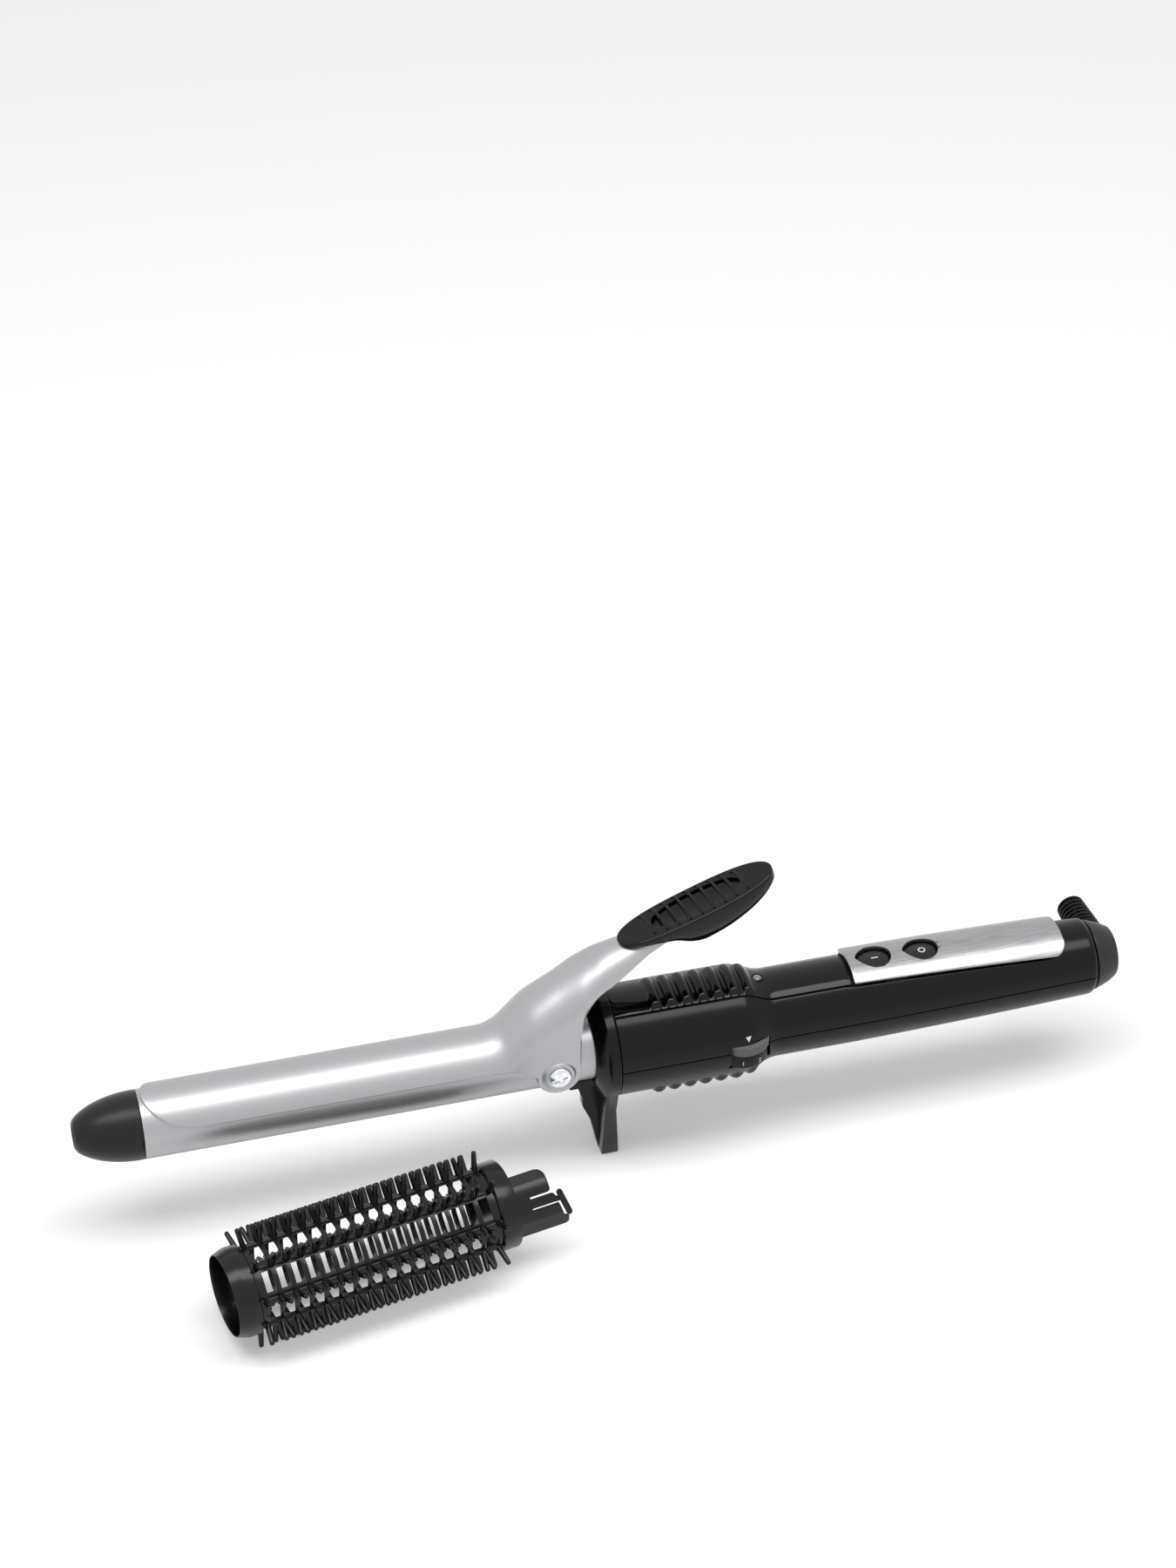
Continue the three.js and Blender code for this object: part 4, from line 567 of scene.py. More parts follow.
def on_clamp(u, v):
    row = round(u * (len(clamp_stations) - 1))
    x0, z0, spine_x = clamp_stations[row]
    top = flowing(SPINE, spine_x)
    half = flowing(HALF_WIDTH, spine_x)
    side = -1 if v < 0.5 else 1
    climb = 1 - abs(2 * v - 1)
    fade = max(0, 1 - row / CORNER_END)
    climb += fade * 0.75 * ((1 - math.cos(climb * math.pi / 2)) - climb) if fade else 0
    spring = top - half
    straight = max(spring - z0, 0)
    foot = math.asin(min(max((z0 - spring) / half, 0), 1))
    reach = climb * (straight + half * (math.pi / 2 - foot))
    if reach < straight:
        y, z = half, z0 + reach
    else:
        turn = foot + (reach - straight) / half
        y, z = half * math.cos(turn), spring + half * math.sin(turn)
    x = x0 + (z - z0) / (top - z0) * (spine_x - x0)
    if row <= CORNER_END:
        s = min((1 - reach / (half * (math.pi / 2 - foot))), 1)
        nose = CLAMP_FRONT + CLAMP_CORNER * (1 - math.sqrt(max(1 - s * s, 0)))
        x = nose + (clamp_stations[CORNER_END][0] - nose) * (row / CORNER_END)
    return (x, side * y, z)


clamp = laid("clamp", len(clamp_stations) - 1, CLAMP_COLUMNS, on_clamp)
thicken(clamp, CLAMP_THICKNESS)
soften(clamp, 0.22, 3, 50, clamp=False)
smooth(clamp, 40)

# %% [markdown]
# ## Pivot bosses and screws
# A low round boss is pressed out of each ear, and a bright cross head screw sits on it. The boss is spun
# with soft edges and joined to the ear. The screw's cross is cut from its dome by two crossed wedges.

# %% Bosses
BOSS = 4.4
BOSS_HEIGHT = 0.7


def about_pivot(piece, side):
    """Turns a piece drawn along +X so that it points out of the ear on one side."""
    turn = Matrix.Rotation(side * math.pi / 2, 4, "Z")
    return placed(piece, Matrix.Translation((PIVOT_X, 0, 0)) @ turn)


for side in (-1, 1):
    seat = CLAMP_OUTER - 0.5
    crown = CLAMP_OUTER + BOSS_HEIGHT
    boss = spun("boss", [
        (seat, 0), (seat, BOSS + 0.5), (CLAMP_OUTER, BOSS + 0.5), (CLAMP_OUTER + 0.15, BOSS + 0.1),
        (crown - 0.25, BOSS - 0.1), (crown - 0.07, BOSS - 0.25), (crown, BOSS - 0.5), (crown, 0),
    ], 64)
    about_pivot(boss, side)
    carve(clamp, boss, "UNION")
smooth(clamp, 40)
settle(clamp, TONG, "clamp", "barrel_coating", silver_coat, "clamp_shell")

# %% Screws
SCREW_HEAD = 3.2
SCREW_DOME = 1.4

for name, side in (("near", -1), ("far", 1)):
    seat = CLAMP_OUTER + BOSS_HEIGHT + 0.05
    crown = seat + SCREW_DOME
    dome = [(seat + 0.35 + (SCREW_DOME - 0.35) * math.sin(a), 0.35 + (SCREW_HEAD - 0.35) * math.cos(a))
            for a in [math.radians(k * 9) for k in range(11)]]
    screw = spun("pivot_screw_head_" + name, [
        (4.8, 0), (4.8, 1.5), (seat, 1.5), (seat, SCREW_HEAD - 0.15), (seat + 0.15, SCREW_HEAD),
        *dome, (crown, 0),
    ], 48)
    for turn in (20, 110):
        blade = pulled("blade", [(-1.9, -0.42), (1.9, -0.42), (1.9, 0.42), (-1.9, 0.42)],
                       crown - 0.9, crown + 1, "front")
        carve(screw, placed(blade, Matrix.Rotation(math.radians(turn), 4, "X")))
    soften(screw, 0.08, 2, 40)
    smooth(screw, 40)
    about_pivot(screw, side)
    settle(screw, TONG, "handle", "zinc_screw", zinc, "pivot_screw_" + name)

# %% [markdown]
# ## Thumb pad
# The pad is a gloss moulding shaped like a small boat. Each section across it is a flat top over a full
# rounded hull, so we lay a closed grid on that formula: the plan gives the width, the side view gives
# the depth. The grip on top is a sunk pocket with nine thin fins standing in it.

# %% Hull of the pad
PAD_LENGTH = 46.0
PAD_HALF = 6.8
PAD_DEPTH = 11.0
PAD_PITCH = math.radians(21.5)
PAD_NOSE = (0.4, 35.0)
PAD_EDGE = 0.75            # rounding between the top and the sides
PAD_FULLNESS = 2.7         # 2 is an ellipse, more is boxier

pad_plan = [(0, 0)]
pad_plan += bezier((0, 0), (0, 2.4), (1.2, 3.6), (4, 4.8), 8)
pad_plan += bezier((4, 4.8), (9, 6.6), (16, PAD_HALF), (25.3, PAD_HALF), 22)
pad_plan += bezier((25.3, PAD_HALF), (39.1, PAD_HALF), (PAD_LENGTH, 4.8), (PAD_LENGTH, 0), 30)
PAD_KEEL = [(0, 1.6), (6, 3.0), (13.8, 6.0), (18.5, 9.8), (22, PAD_DEPTH), (27, 10.7),
            (35, 8.9), (41, 6.4), (PAD_LENGTH, 3.2)]


def on_pad(u, v):
    x, half = pad_plan[round(u * (len(pad_plan) - 1))]
    keel = flowing(PAD_KEEL, x) * min(1, 0.35 + half / 3)
    half = max(half, 0.001)
    turn = 2 * math.pi * v
    if v <= 0.5:
        across, down = math.cos(turn), math.sin(turn)
        power = 2 / PAD_FULLNESS
        y = half * math.copysign(abs(across) ** power, across)
        return (x, y, -PAD_EDGE * min(half, 1) - (keel - PAD_EDGE) * abs(down) ** power)
    flat = (v - 0.5) * 2
    edge = min(PAD_EDGE, half)
    if flat < 0.1 or flat > 0.9:
        side = -1 if flat < 0.1 else 1
        bend = math.radians(90) * (flat / 0.1 if flat < 0.1 else (1 - flat) / 0.1)
        return (x, side * (half - edge * (1 - math.cos(bend))), -edge * (1 - math.sin(bend)))
    across = (flat - 0.1) / 0.8 * 2 - 1
    return (x, across * (half - edge), 0)


pad = laid("thumb_pad", len(pad_plan) - 1, 80, on_pad)

# %% Pocket and fins of the pad
FINS = 9
FIN_PITCH = 3.45
FIN_WIDTH = 0.85
FIN_REACH = 5.5
FIN_PROUD = 0.32
POCKET_DEPTH = 1.4
POCKET_MIDDLE = 23.4
POCKET_REACH = 13.2
POCKET_HALF = 4.6

pocket_outline = [
    (POCKET_MIDDLE + POCKET_REACH * math.cos(a),
     POCKET_HALF * math.copysign(abs(math.sin(a)) ** 0.8, math.sin(a)))
    for a in [2 * math.pi * k / 48 for k in range(48)]
]
pocket = pulled("pocket", pocket_outline, -POCKET_DEPTH, 2)
carve(pad, pocket)
soften(pad, 0.15, 2, 50)

fins = []
for i in range(FINS):
    x = POCKET_MIDDLE + (i - (FINS - 1) / 2) * FIN_PITCH
    reach = FIN_REACH * math.sqrt(1 - ((i - (FINS - 1) / 2) / 6.2) ** 2)
    bow = [(x + 0.5 - 1.6 * (k / 8) ** 2, -reach + 2 * reach * k / 8) for k in range(9)]
    bow += [(x - 1.9, reach + 0.25)]
    near = [(px - FIN_WIDTH / 2, py) for px, py in bow]
    far = [(px + FIN_WIDTH / 2, py) for px, py in reversed(bow)]
    fin = pulled("fin", near + far, -POCKET_DEPTH - 0.2, FIN_PROUD)
    fins.append(soften(fin, 0.22, 3, 50))
pad = joined([pad, *fins], "thumb_pad")
placed(pad, Matrix.Translation((PAD_NOSE[0], 0, PAD_NOSE[1])) @ Matrix.Rotation(-PAD_PITCH, 4, "Y"))
smooth(pad, 40)
settle(pad, TONG, "clamp", "gloss_black", gloss_black, "thumb_pad")

# %% [markdown]
# ## Collar and stand
# The collar, the foot and its stiffening web are one moulding. We spin the collar, pull the foot from its
# front view and its side view, keep what the two have in common, add the web and the tab under the
# barrel, and bore the seat for the barrel last. The foot and the web get their soft edges before they are
# joined.

# %% Collar
COLLAR = 15.8
COLLAR_NOSE = 10.4
COLLAR_BORE = 9.8

collar = spun("collar_and_stand", [
    (-8, 9.85), (-8, COLLAR_NOSE - 0.2), (-7.9, COLLAR_NOSE), (-6.0, 14.6), (-5.3, COLLAR - 0.35),
    (-4.95, COLLAR), (-2.6, COLLAR), (-2.35, COLLAR - 0.25), (-2.3, 14.9), (-1.7, 14.6), (-1.7, 13.0),
    (6, 13.0), (6, 9.85), (-8, 9.85),
], 128)

# %% Foot and web
SOLE = -38.0
WEB_HALF = 1.6

foot_front = [(-12.64, 0), (-12.64, -9), (-10.5, -16.5), (-6.6, -31), (-4.4, SOLE), (4.4, SOLE),
              (6.6, -31), (10.5, -16.5), (12.64, -9), (12.64, 0)]
foot_side = [(-5.5, 0), (-5.5, -17), (-5, SOLE), (0, SOLE), (-2.3, -17), (-2.3, 0)]
web_side = [(-14.6, -9), (-14.6, -12.2), (-11, -14.4), (-9.8, -18), (-9.6, -21.5), (-7.3, -27),
            (-5, SOLE), (-3, SOLE), (-2.8, -9)]
foot = pulled("foot", foot_front, -8, 2, "front")
carve(foot, pulled("profile", foot_side, -20, 20, "side"), "INTERSECT")
soften(foot, 0.45, 3, 30)
web = pulled("web", web_side, -WEB_HALF, WEB_HALF, "side")
soften(web, 0.4, 3, 30)
tab = spun("tab", [(-14.6, 9.9), (-14.6, 11.7), (-14.2, 12.1), (-5, 12.1), (-5, 9.9), (-14.6, 9.9)], 96)
carve(tab, pulled("span", [(-16, -20), (-3, -20), (-3, 0), (-16, 0)], -5.6, 5.6, "side"), "INTERSECT")
for part in (foot, web, tab):
    carve(collar, part, "UNION")
bore = spun("bore", [(-20, 0), (-20, COLLAR_BORE), (10, COLLAR_BORE), (10, 0)], 96)
carve(collar, bore)
smooth(collar, 35)
settle(collar, TONG, "handle", "satin_black", satin_black, "collar_stand")

# %% [markdown]
# ## Handle
# All skins of the handle share one radius: a fat grip, a short smooth neck and a long slim grip that
# tapers towards the cord. We lay each skin as a grid over that radius and give it its wall. The ribs of
# the grip belong to the same formula, as half round ridges that die out towards the edge of the cover.


# %% Radius of the handle
NECK_FRONT, NECK_REAR, NECK = 33.0, 44.0, 12.4
GRIP = 15.3
TAPER_START, TAPER_DROP = 64.0, 1.5
SHELL_FRONT = -2.0
SEAM = 0.6
RIBS, RIB_FIRST, RIB_PITCH = 7, 10.0, 4.43
RIB_HALF, RIB_HEIGHT = 1.7, 1.2
COVER_HALF = 6.7
COVER_REAR = 66.0


def handle_radius(x):
    if x <= NECK_FRONT:
        return GRIP
    if x < NECK_REAR:
        t = (x - NECK_FRONT) / (NECK_REAR - NECK_FRONT)
        return GRIP + (NECK - GRIP) * (1 - math.cos(math.pi * t)) / 2
    return NECK - TAPER_DROP * (max(x - TAPER_START, 0) / (HANDLE_REAR - TAPER_START)) ** 1.5


def rib(x, y, fade_from, fade_to):
    """Height of the grip's ribs at a place."""
    nearest = min(max(round((x - RIB_FIRST) / RIB_PITCH), 0), RIBS - 1)
    off = (x - RIB_FIRST - nearest * RIB_PITCH) / RIB_HALF
    if abs(off) >= 1:
        return 0
    fade = min(max((fade_to - abs(y)) / (fade_to - fade_from), 0), 1)
    return RIB_HEIGHT * (1 - off * off) ** 0.7 * math.sqrt(1 - (1 - fade) ** 2)


def stops(*runs):
    """Stations along the handle from (start, end, steps) runs."""
    out = [runs[0][0]]
    for start, end, steps in runs:
        out += [start + (end - start) * i / steps for i in range(1, steps + 1)]
    return out


rib_rear = RIB_FIRST + (RIBS - 0.5) * RIB_PITCH
print("grip radius", GRIP, "neck radius", NECK, "rear radius", round(handle_radius(HANDLE_REAR), 2))

# %% Ribbed cover
STRIP = 1.6                # thickness of the cover and of the control plate
LED_X, LED_HOLE = 40.4, 1.5

cover_x = stops((SHELL_FRONT, 8, 10), (8, rib_rear, 150), (rib_rear, 46, 24), (46, COVER_REAR, 12))


def on_cover(u, v):
    x = cover_x[round(u * (len(cover_x) - 1))]
    y = (2 * v - 1) * COVER_HALF
    base = handle_radius(x)
    r = base + rib(x, y, COVER_HALF - 1.6, COVER_HALF - 0.5)
    return (x, y, math.sqrt(base * base - y * y) + (r - base))


cover = laid("ribbed_cover", len(cover_x) - 1, 40, on_cover)
thicken(cover, STRIP)
led_hole = pulled("led_hole", arc(LED_X, 0, LED_HOLE, 0, 352.5, 47), 5, 25)
carve(cover, led_hole)
soften(cover, 0.15, 2, 75)
smooth(cover, 38)
settle(cover, TONG, "handle", "gloss_black", gloss_black, "top_cover")

# %% [markdown]
# ## Control plate and buttons
# The plate is a strip of brushed metal bent to the handle, with round rear corners and two drop shaped
# holes. The buttons are little domes of the same drop outline: rings of that outline shrink towards the
# middle while their height follows the handle.

# %% Control plate
PLATE_FRONT, PLATE_REAR = 66.3, 128.5
PLATE_NARROW, PLATE_WIDE = 7.0, 7.9
PLATE_CORNER = 3.5


def plate_edge(x, margin=0.0):
    """Half width of the plate, with its round rear corners."""
    t = (x - PLATE_FRONT) / (PLATE_REAR - PLATE_FRONT)
    half = PLATE_NARROW + (PLATE_WIDE - PLATE_NARROW) * t
    into = x - (PLATE_REAR - PLATE_CORNER)
    corner = PLATE_CORNER + margin
    if into > 0:
        half -= PLATE_CORNER - math.sqrt(max(corner * corner - into * into, 0)) + margin
    return half + margin


def drop(x, radius, point, steps=28):
    """Closed outline of a button: a round end with a blunt point towards the barrel."""
    round_end = arc(x, 0, radius, -109, 109, steps)
    top = round_end[-1]
    tip = (x - point, 0.7)
    control = (x - point * 0.75, radius * 0.7)
    flank = []
    for i in range(1, 13):
        t = i / 12
        flank.append(tuple((1 - t) ** 2 * a + 2 * t * (1 - t) * b + t * t * c
                           for a, b, c in zip(top, control, tip)))
    blunt = [(x - point - 0.25, 0.25), (x - point - 0.25, -0.25)]
    return round_end + flank + blunt + [(a, -b) for a, b in reversed(flank)]


plate_x = stops((PLATE_FRONT, PLATE_REAR - PLATE_CORNER, 40))
plate_x += [PLATE_REAR - PLATE_CORNER * (1 - math.sin(math.radians(9 * k))) for k in range(1, 11)]


def on_plate(u, v):
    x = plate_x[round(u * (len(plate_x) - 1))]
    y = (2 * v - 1) * plate_edge(x)
    return (x, y, math.sqrt(handle_radius(x) ** 2 - y * y))


plate = laid("control_plate_skin", len(plate_x) - 1, 32, on_plate)
thicken(plate, STRIP)
BUTTONS = {"on": 74.5, "off": 88.3}
BUTTON, BUTTON_POINT = 4.2, 5.2
for x in BUTTONS.values():
    carve(plate, pulled("hole", drop(x, BUTTON + 0.3, BUTTON_POINT + 0.3), 5, 25))
soften(plate, 0.16, 2, 50, clamp=False)
smooth(plate, 38)
settle(plate, TONG, "handle", "brushed_plate", brushed, "control_plate")

# %% Buttons
BUTTON_PROUD = 0.5
RINGS = [(0, 0), (0.35, 0), (0.7, -0.02), (0.86, -0.06), (0.93, -0.16), (0.975, -0.32), (1, -0.6),
         (1, -2.6), (0, -2.6)]


def button(name, x):
    outline = drop(x, BUTTON, BUTTON_POINT)
    middle = x - 0.4

    def on_button(u, v):
        share, sink = RINGS[round(u * (len(RINGS) - 1))]
        px, py = outline[round(v * len(outline)) % len(outline)]
        px, py = middle + (px - middle) * share, py * share
        return (px, py, math.sqrt(handle_radius(px) ** 2 - py * py) + BUTTON_PROUD + sink)

    return smooth(laid(name, len(RINGS) - 1, len(outline), on_button), 60)


def on_top(piece, lift):
    """Lays a flat mark on the handle's upper skin."""
    for vertex in piece.data.vertices:
        x, y, z = vertex.co
        vertex.co.z = math.sqrt(handle_radius(x) ** 2 - y * y) + lift + z


def ring_mark(x, outer, inner):
    """A flat ring, raised a hair."""
    mark = pulled("mark", arc(x, 0, outer, 0, 352.5, 47), 0, 0.05)
    return carve(mark, pulled("inner", arc(x, 0, inner, 0, 352.5, 47), -1, 1))


for name, x in BUTTONS.items():
    cap = button("button_cap_" + name, x)
    if name == "on":
        mark = pulled("mark", [(x - 1, -0.19), (x + 1, -0.19), (x + 1, 0.19), (x - 1, 0.19)], 0, 0.05)
    else:
        mark = ring_mark(x, 1.05, 0.72)
    on_top(mark, BUTTON_PROUD)
    mark.name = "mark_" + name
    settle(cap, TONG, name + "_button", "button_grey", button_grey, "button_" + name)
    settle(mark, TONG, name + "_button", "button_grey", print_white)

# %% [markdown]
# ## Indicator
# A clear bead shows through a hole in the cover behind the ribs, in a thin black bezel.

# %% Indicator bead
BEAD = 1.2
surface = handle_radius(LED_X)
bead_profile = [(surface - 4.5, 0), (surface - 4.5, BEAD), (surface - 0.1, BEAD)]
bead_profile += [(surface - 0.1 + 0.55 * math.sin(a), BEAD * math.cos(a))
                 for a in [math.radians(15 * k) for k in range(1, 6)]]
bead_profile += [(surface + 0.45, 0)]
bead = spun("indicator_bead", bead_profile, 32)
bezel = spun("indicator_bezel", [
    (surface - 1, BEAD + 0.08), (surface + 0.12, BEAD + 0.08), (surface + 0.18, BEAD + 0.2),
    (surface + 0.12, BEAD + 0.55), (surface - 1, BEAD + 0.7), (surface - 1, BEAD + 0.08),
], 48)
for part in (bead, bezel):
    placed(part, Matrix.Translation((LED_X, 0, 0)) @ Matrix.Rotation(-math.pi / 2, 4, "Y"))
    smooth(part, 50)
lens = finish("clear_lens", (0.80, 0.81, 0.83), 0.07, 0, 600, 0.001, 0.03)
lens.node_tree.nodes["Principled BSDF"].inputs["Transmission Weight"].default_value = 0.6
settle(bead, TONG, "handle", "clear_lens", lens, "indicator_led")
settle(bezel, TONG, "handle", "gloss_black", gloss_black)

# %% [markdown]
# ## Case shells
# The two shells meet on a level seam. The upper one leaves a slot for the strip along the top: its grid
# has columns that follow the slot's edge, and the faces over the slot are deleted. The lower one carries
# ribs like those of the cover. Both close on an end wall with a round hole for the swivel, and the dial
# looks out of a round cut through them. Two narrow ledges inside the slot carry the strip.

# %% Path of a shell from front to rear
WALL = 2.0
END_RADIUS = 1.5
END_HOLE = 4.9

slot_rear = PLATE_REAR + 0.3
rear_radius = handle_radius(HANDLE_REAR)
shell_path = [(x, handle_radius(x)) for x in stops(
    (SHELL_FRONT, NECK_FRONT, 110), (NECK_FRONT, NECK_REAR, 20), (NECK_REAR, 66, 10), (66, 125.3, 24))]
shell_path += [(slot_rear - 3.5 * (1 - math.sin(math.radians(9 * k))),
                handle_radius(slot_rear - 3.5 * (1 - math.sin(math.radians(9 * k))))) for k in range(1, 11)]
shell_path += [(x, handle_radius(x)) for x in stops((slot_rear + 0.5, HANDLE_REAR - END_RADIUS, 8))]
shell_path += [(HANDLE_REAR - END_RADIUS * (1 - math.sin(math.radians(a))),
                rear_radius - END_RADIUS * (1 - math.cos(math.radians(a)))) for a in range(15, 91, 15)]
shell_path += [(HANDLE_REAR, r) for r in (8, 6.4, END_HOLE)]


def slot_edge(x, r):
    if x < COVER_REAR:
        return COVER_HALF + 0.3
    if x < slot_rear:
        return plate_edge(x, 0.3)
    return min(4.7, r * 0.5)


SIDE_COLUMNS = 22
TOP_COLUMNS = 12


def on_upper(u, v):
    x, r = shell_path[round(u * (len(shell_path) - 1))]
    column = round(v * (2 * SIDE_COLUMNS + TOP_COLUMNS))
    from_edge = min(column, 2 * SIDE_COLUMNS + TOP_COLUMNS - column)
    side = -1 if column < SIDE_COLUMNS + TOP_COLUMNS / 2 else 1
    foot = math.asin((SEAM + 0.15) / r)
    lip = math.acos(slot_edge(x, r) / r)
    if from_edge <= SIDE_COLUMNS:
        turn = foot + (lip - foot) * from_edge / SIDE_COLUMNS
    else:
        turn = lip + (math.pi / 2 - lip) * (from_edge - SIDE_COLUMNS) / (TOP_COLUMNS / 2)
    return (x, side * r * math.cos(turn), r * math.sin(turn))


def pick_faces(piece, wanted):
    """Selects, in edit mode, the faces whose middle answers to wanted(x, y, z)."""
    edit(piece, "FACE")
    bpy.ops.mesh.select_all(action="DESELECT")
    leave()
    for face in piece.data.polygons:
        face.select = wanted(*face.center)
    bpy.ops.object.mode_set(mode="EDIT")


upper = laid("case_upper", len(shell_path) - 1, 2 * SIDE_COLUMNS + TOP_COLUMNS, on_upper)
pick_faces(upper, lambda x, y, z: x < slot_rear and abs(y) < slot_edge(x, 12) - 0.02 and z > 8)
bpy.ops.mesh.delete(type="FACE")
leave()
thicken(upper, WALL)


LEDGE_FROM, LEDGE_WIDTH, LEDGE_WALL = 6.0, 2.6, 1.2
LEDGE_GAP = 0.35           # between the ledge and the strip


def ledge(side):
    """The inner ledge under the cover and the plate, along one edge of the slot."""
    def on_ledge(u, v):
        x = SHELL_FRONT + 2 + (slot_rear - SHELL_FRONT - 2) * u
        y = LEDGE_FROM + LEDGE_WIDTH * v
        under = handle_radius(x) - STRIP - LEDGE_GAP
        return (x, side * y, math.sqrt(under * under - y * y))

    return thicken(laid("ledge", 60, 4, on_ledge), LEDGE_WALL)


upper = joined([upper, ledge(-1), ledge(1)], "case_upper")

# %% Lower shell
LOWER_COLUMNS = 64
CASE_SCREWS = (49.5, 98.0)
POST, SCREW_WELL, SCREW_HOLE = 3.6, 2.7, 1.4


def on_lower(u, v):
    x, r = shell_path[round(u * (len(shell_path) - 1))]
    foot = math.asin((SEAM - 0.15) / r)
    turn = foot - (math.pi + 2 * foot) * v
    y = -r * math.cos(turn)
    if r > 12 and math.sin(turn) < 0:
        r += rib(x, y, 9.5, 11.5)
    return (x, -r * math.cos(turn), r * math.sin(turn))


lower = laid("case_lower", len(shell_path) - 1, LOWER_COLUMNS, on_lower)
thicken(lower, WALL)
for x in CASE_SCREWS:
    floor_z = -handle_radius(x)
    post = pulled("post", arc(x, 0, POST, 0, 352.5, 47), floor_z + 1, 0.4)
    carve(lower, post, "UNION")
    carve(lower, pulled("well", arc(x, 0, SCREW_WELL, 0, 352.5, 47), floor_z - 2, floor_z + 3))
    carve(lower, pulled("hole", arc(x, 0, SCREW_HOLE, 0, 345, 23), floor_z, 2))

# %% Opening for the dial, and the finished shells
DIAL_X, DIAL_Y, DIAL = 33.8, -9.0, 7.5
DIAL_GAP = 0.25

for shell in (upper, lower):
    carve(shell, pulled("dial_way", arc(DIAL_X, DIAL_Y, DIAL + DIAL_GAP, 0, 356.25, 95), -4.85, 2.8))
    soften(shell, 0.14, 2, 55, clamp=False)
    smooth(shell, 38)
settle(upper, TONG, "handle", "satin_black", satin_black, "handle_shell_upper")
settle(lower, TONG, "handle", "satin_black", satin_black, "handle_shell_lower")

# %% [markdown]
# ## Temperature dial
# The dial is a wheel on an upright shaft. Its upper band is finely toothed, so its outline is drawn tooth
# by tooth and pulled. The smooth band under it carries the printed figures 1 and 2, which are text turned
# into a thin mesh and wrapped round the band.

# %% Dial
DIAL_TEETH, TOOTH = 84, 0.28
DIAL_BOTTOM, KNURL_BOTTOM, DIAL_TOP = -4.6, -0.4, 2.6
BAND = DIAL - 0.35

teeth = []
for i in range(DIAL_TEETH * 2):
    turn = math.pi * i / DIAL_TEETH
    radius = DIAL if i % 2 == 0 else DIAL - TOOTH
    teeth.append((radius * math.cos(turn), radius * math.sin(turn)))
wheel = pulled("temperature_wheel", teeth, KNURL_BOTTOM + 0.1, DIAL_TOP)
band = pulled("temperature_band", arc(0, 0, BAND, 0, 357.5, 143), DIAL_BOTTOM, KNURL_BOTTOM)
soften(wheel, 0.1, 2, 60)
soften(band, 0.25, 3, 40)
for part in (wheel, band):
    placed(part, Matrix.Translation((DIAL_X, DIAL_Y, 0)))
    smooth(part, 30)
settle(wheel, TONG, "dial", "dial_black", dial_grey, "temperature_dial")
settle(band, TONG, "dial", "dial_black", dial_black)

# %% Figures on the dial and the pointer above it
FIGURE = 1.9


def figure(text, turn):
    """A printed figure on the dial's band, at an angle round it."""
    bpy.ops.object.select_all(action="DESELECT")
    bpy.ops.object.text_add()
    sign = bpy.context.object
    sign.data.body = text
    sign.data.size = FIGURE
    sign.data.align_x = "CENTER"
    sign.data.extrude = 0.02
    activate(sign)
    bpy.ops.object.convert(target="MESH")
    for vertex in sign.data.vertices:
        x, y, z = vertex.co
        bend = turn + x / BAND
        vertex.co = (DIAL_X + (BAND + z) * math.sin(bend), DIAL_Y - (BAND + z) * math.cos(bend),
                     y + DIAL_BOTTOM + 1.0)
    sign.name = "figure_" + text
    return settle(sign, TONG, "dial", "dial_black", print_white)


figure("1", math.radians(-14))
figure("2", math.radians(26))

pointer_x, pointer_z = DIAL_X, 4.3
pointer = pulled("pointer_mark", [(pointer_x - 0.8, pointer_z + 0.85), (pointer_x + 0.8, pointer_z + 0.85),
                                  (pointer_x, pointer_z - 0.75)], 0, 0.05, "side")
for vertex in pointer.data.vertices:
    x, y, z = vertex.co
    vertex.co.y = -math.sqrt(handle_radius(x) ** 2 - z * z) - y
settle(pointer, TONG, "handle", "satin_black", print_white)

# %% [markdown]
# ## Swivel cap and boot
# The cap turns on the end of the handle and lets the boot out sideways. It is a spun shell with a flat cut
# on one side, where the boot sits. The boot is spun too: its rings and waists make it bend evenly.

# %% Swivel cap
CAP_FRONT, CAP_LENGTH, CAP, CAP_REAR, CAP_FLAT = 138.3, 7.1, 10.0, 7.4, 9.0
CAP_NECK_FRONT, CAP_NECK = 130.7, 4.6
BOOT_X = CAP_FRONT + 3.7

cap_profile = [(CAP_NECK_FRONT, 0), (CAP_NECK_FRONT, CAP_NECK), (CAP_FRONT, CAP_NECK)]
cap_profile += [(CAP_FRONT, CAP - 0.4), (CAP_FRONT + 0.12, CAP - 0.12), (CAP_FRONT + 0.4, CAP)]
cap_profile += [(CAP_FRONT + CAP_LENGTH * t, CAP - (CAP - CAP_REAR) * t ** 1.3) for t in (0.3, 0.5, 0.7)]
cap_end = CAP_FRONT + CAP_LENGTH
cap_profile += [(cap_end - 1.1 * (1 - math.sin(a)), 6.5 + 1.1 * math.cos(a))
                for a in [math.radians(k) for k in (10, 30, 50, 70)]]
cap_profile += [(cap_end, 6.5), (cap_end, 0)]
swivel = spun("swivel_cap_shell", cap_profile, 96)
carve(swivel, pulled("flat", [(120, CAP_FLAT), (160, CAP_FLAT), (160, 20), (120, 20)], -20, 20))
soften(swivel, 0.3, 3, 45, clamp=False)
smooth(swivel, 40)
cap_grey = finish("cap_grey", (0.022, 0.022, 0.022), 0.40, 0, 1800, 0.008, 0.06, specular=0.3)
settle(swivel, TONG, "swivel", "button_grey", cap_grey, "swivel_cap")

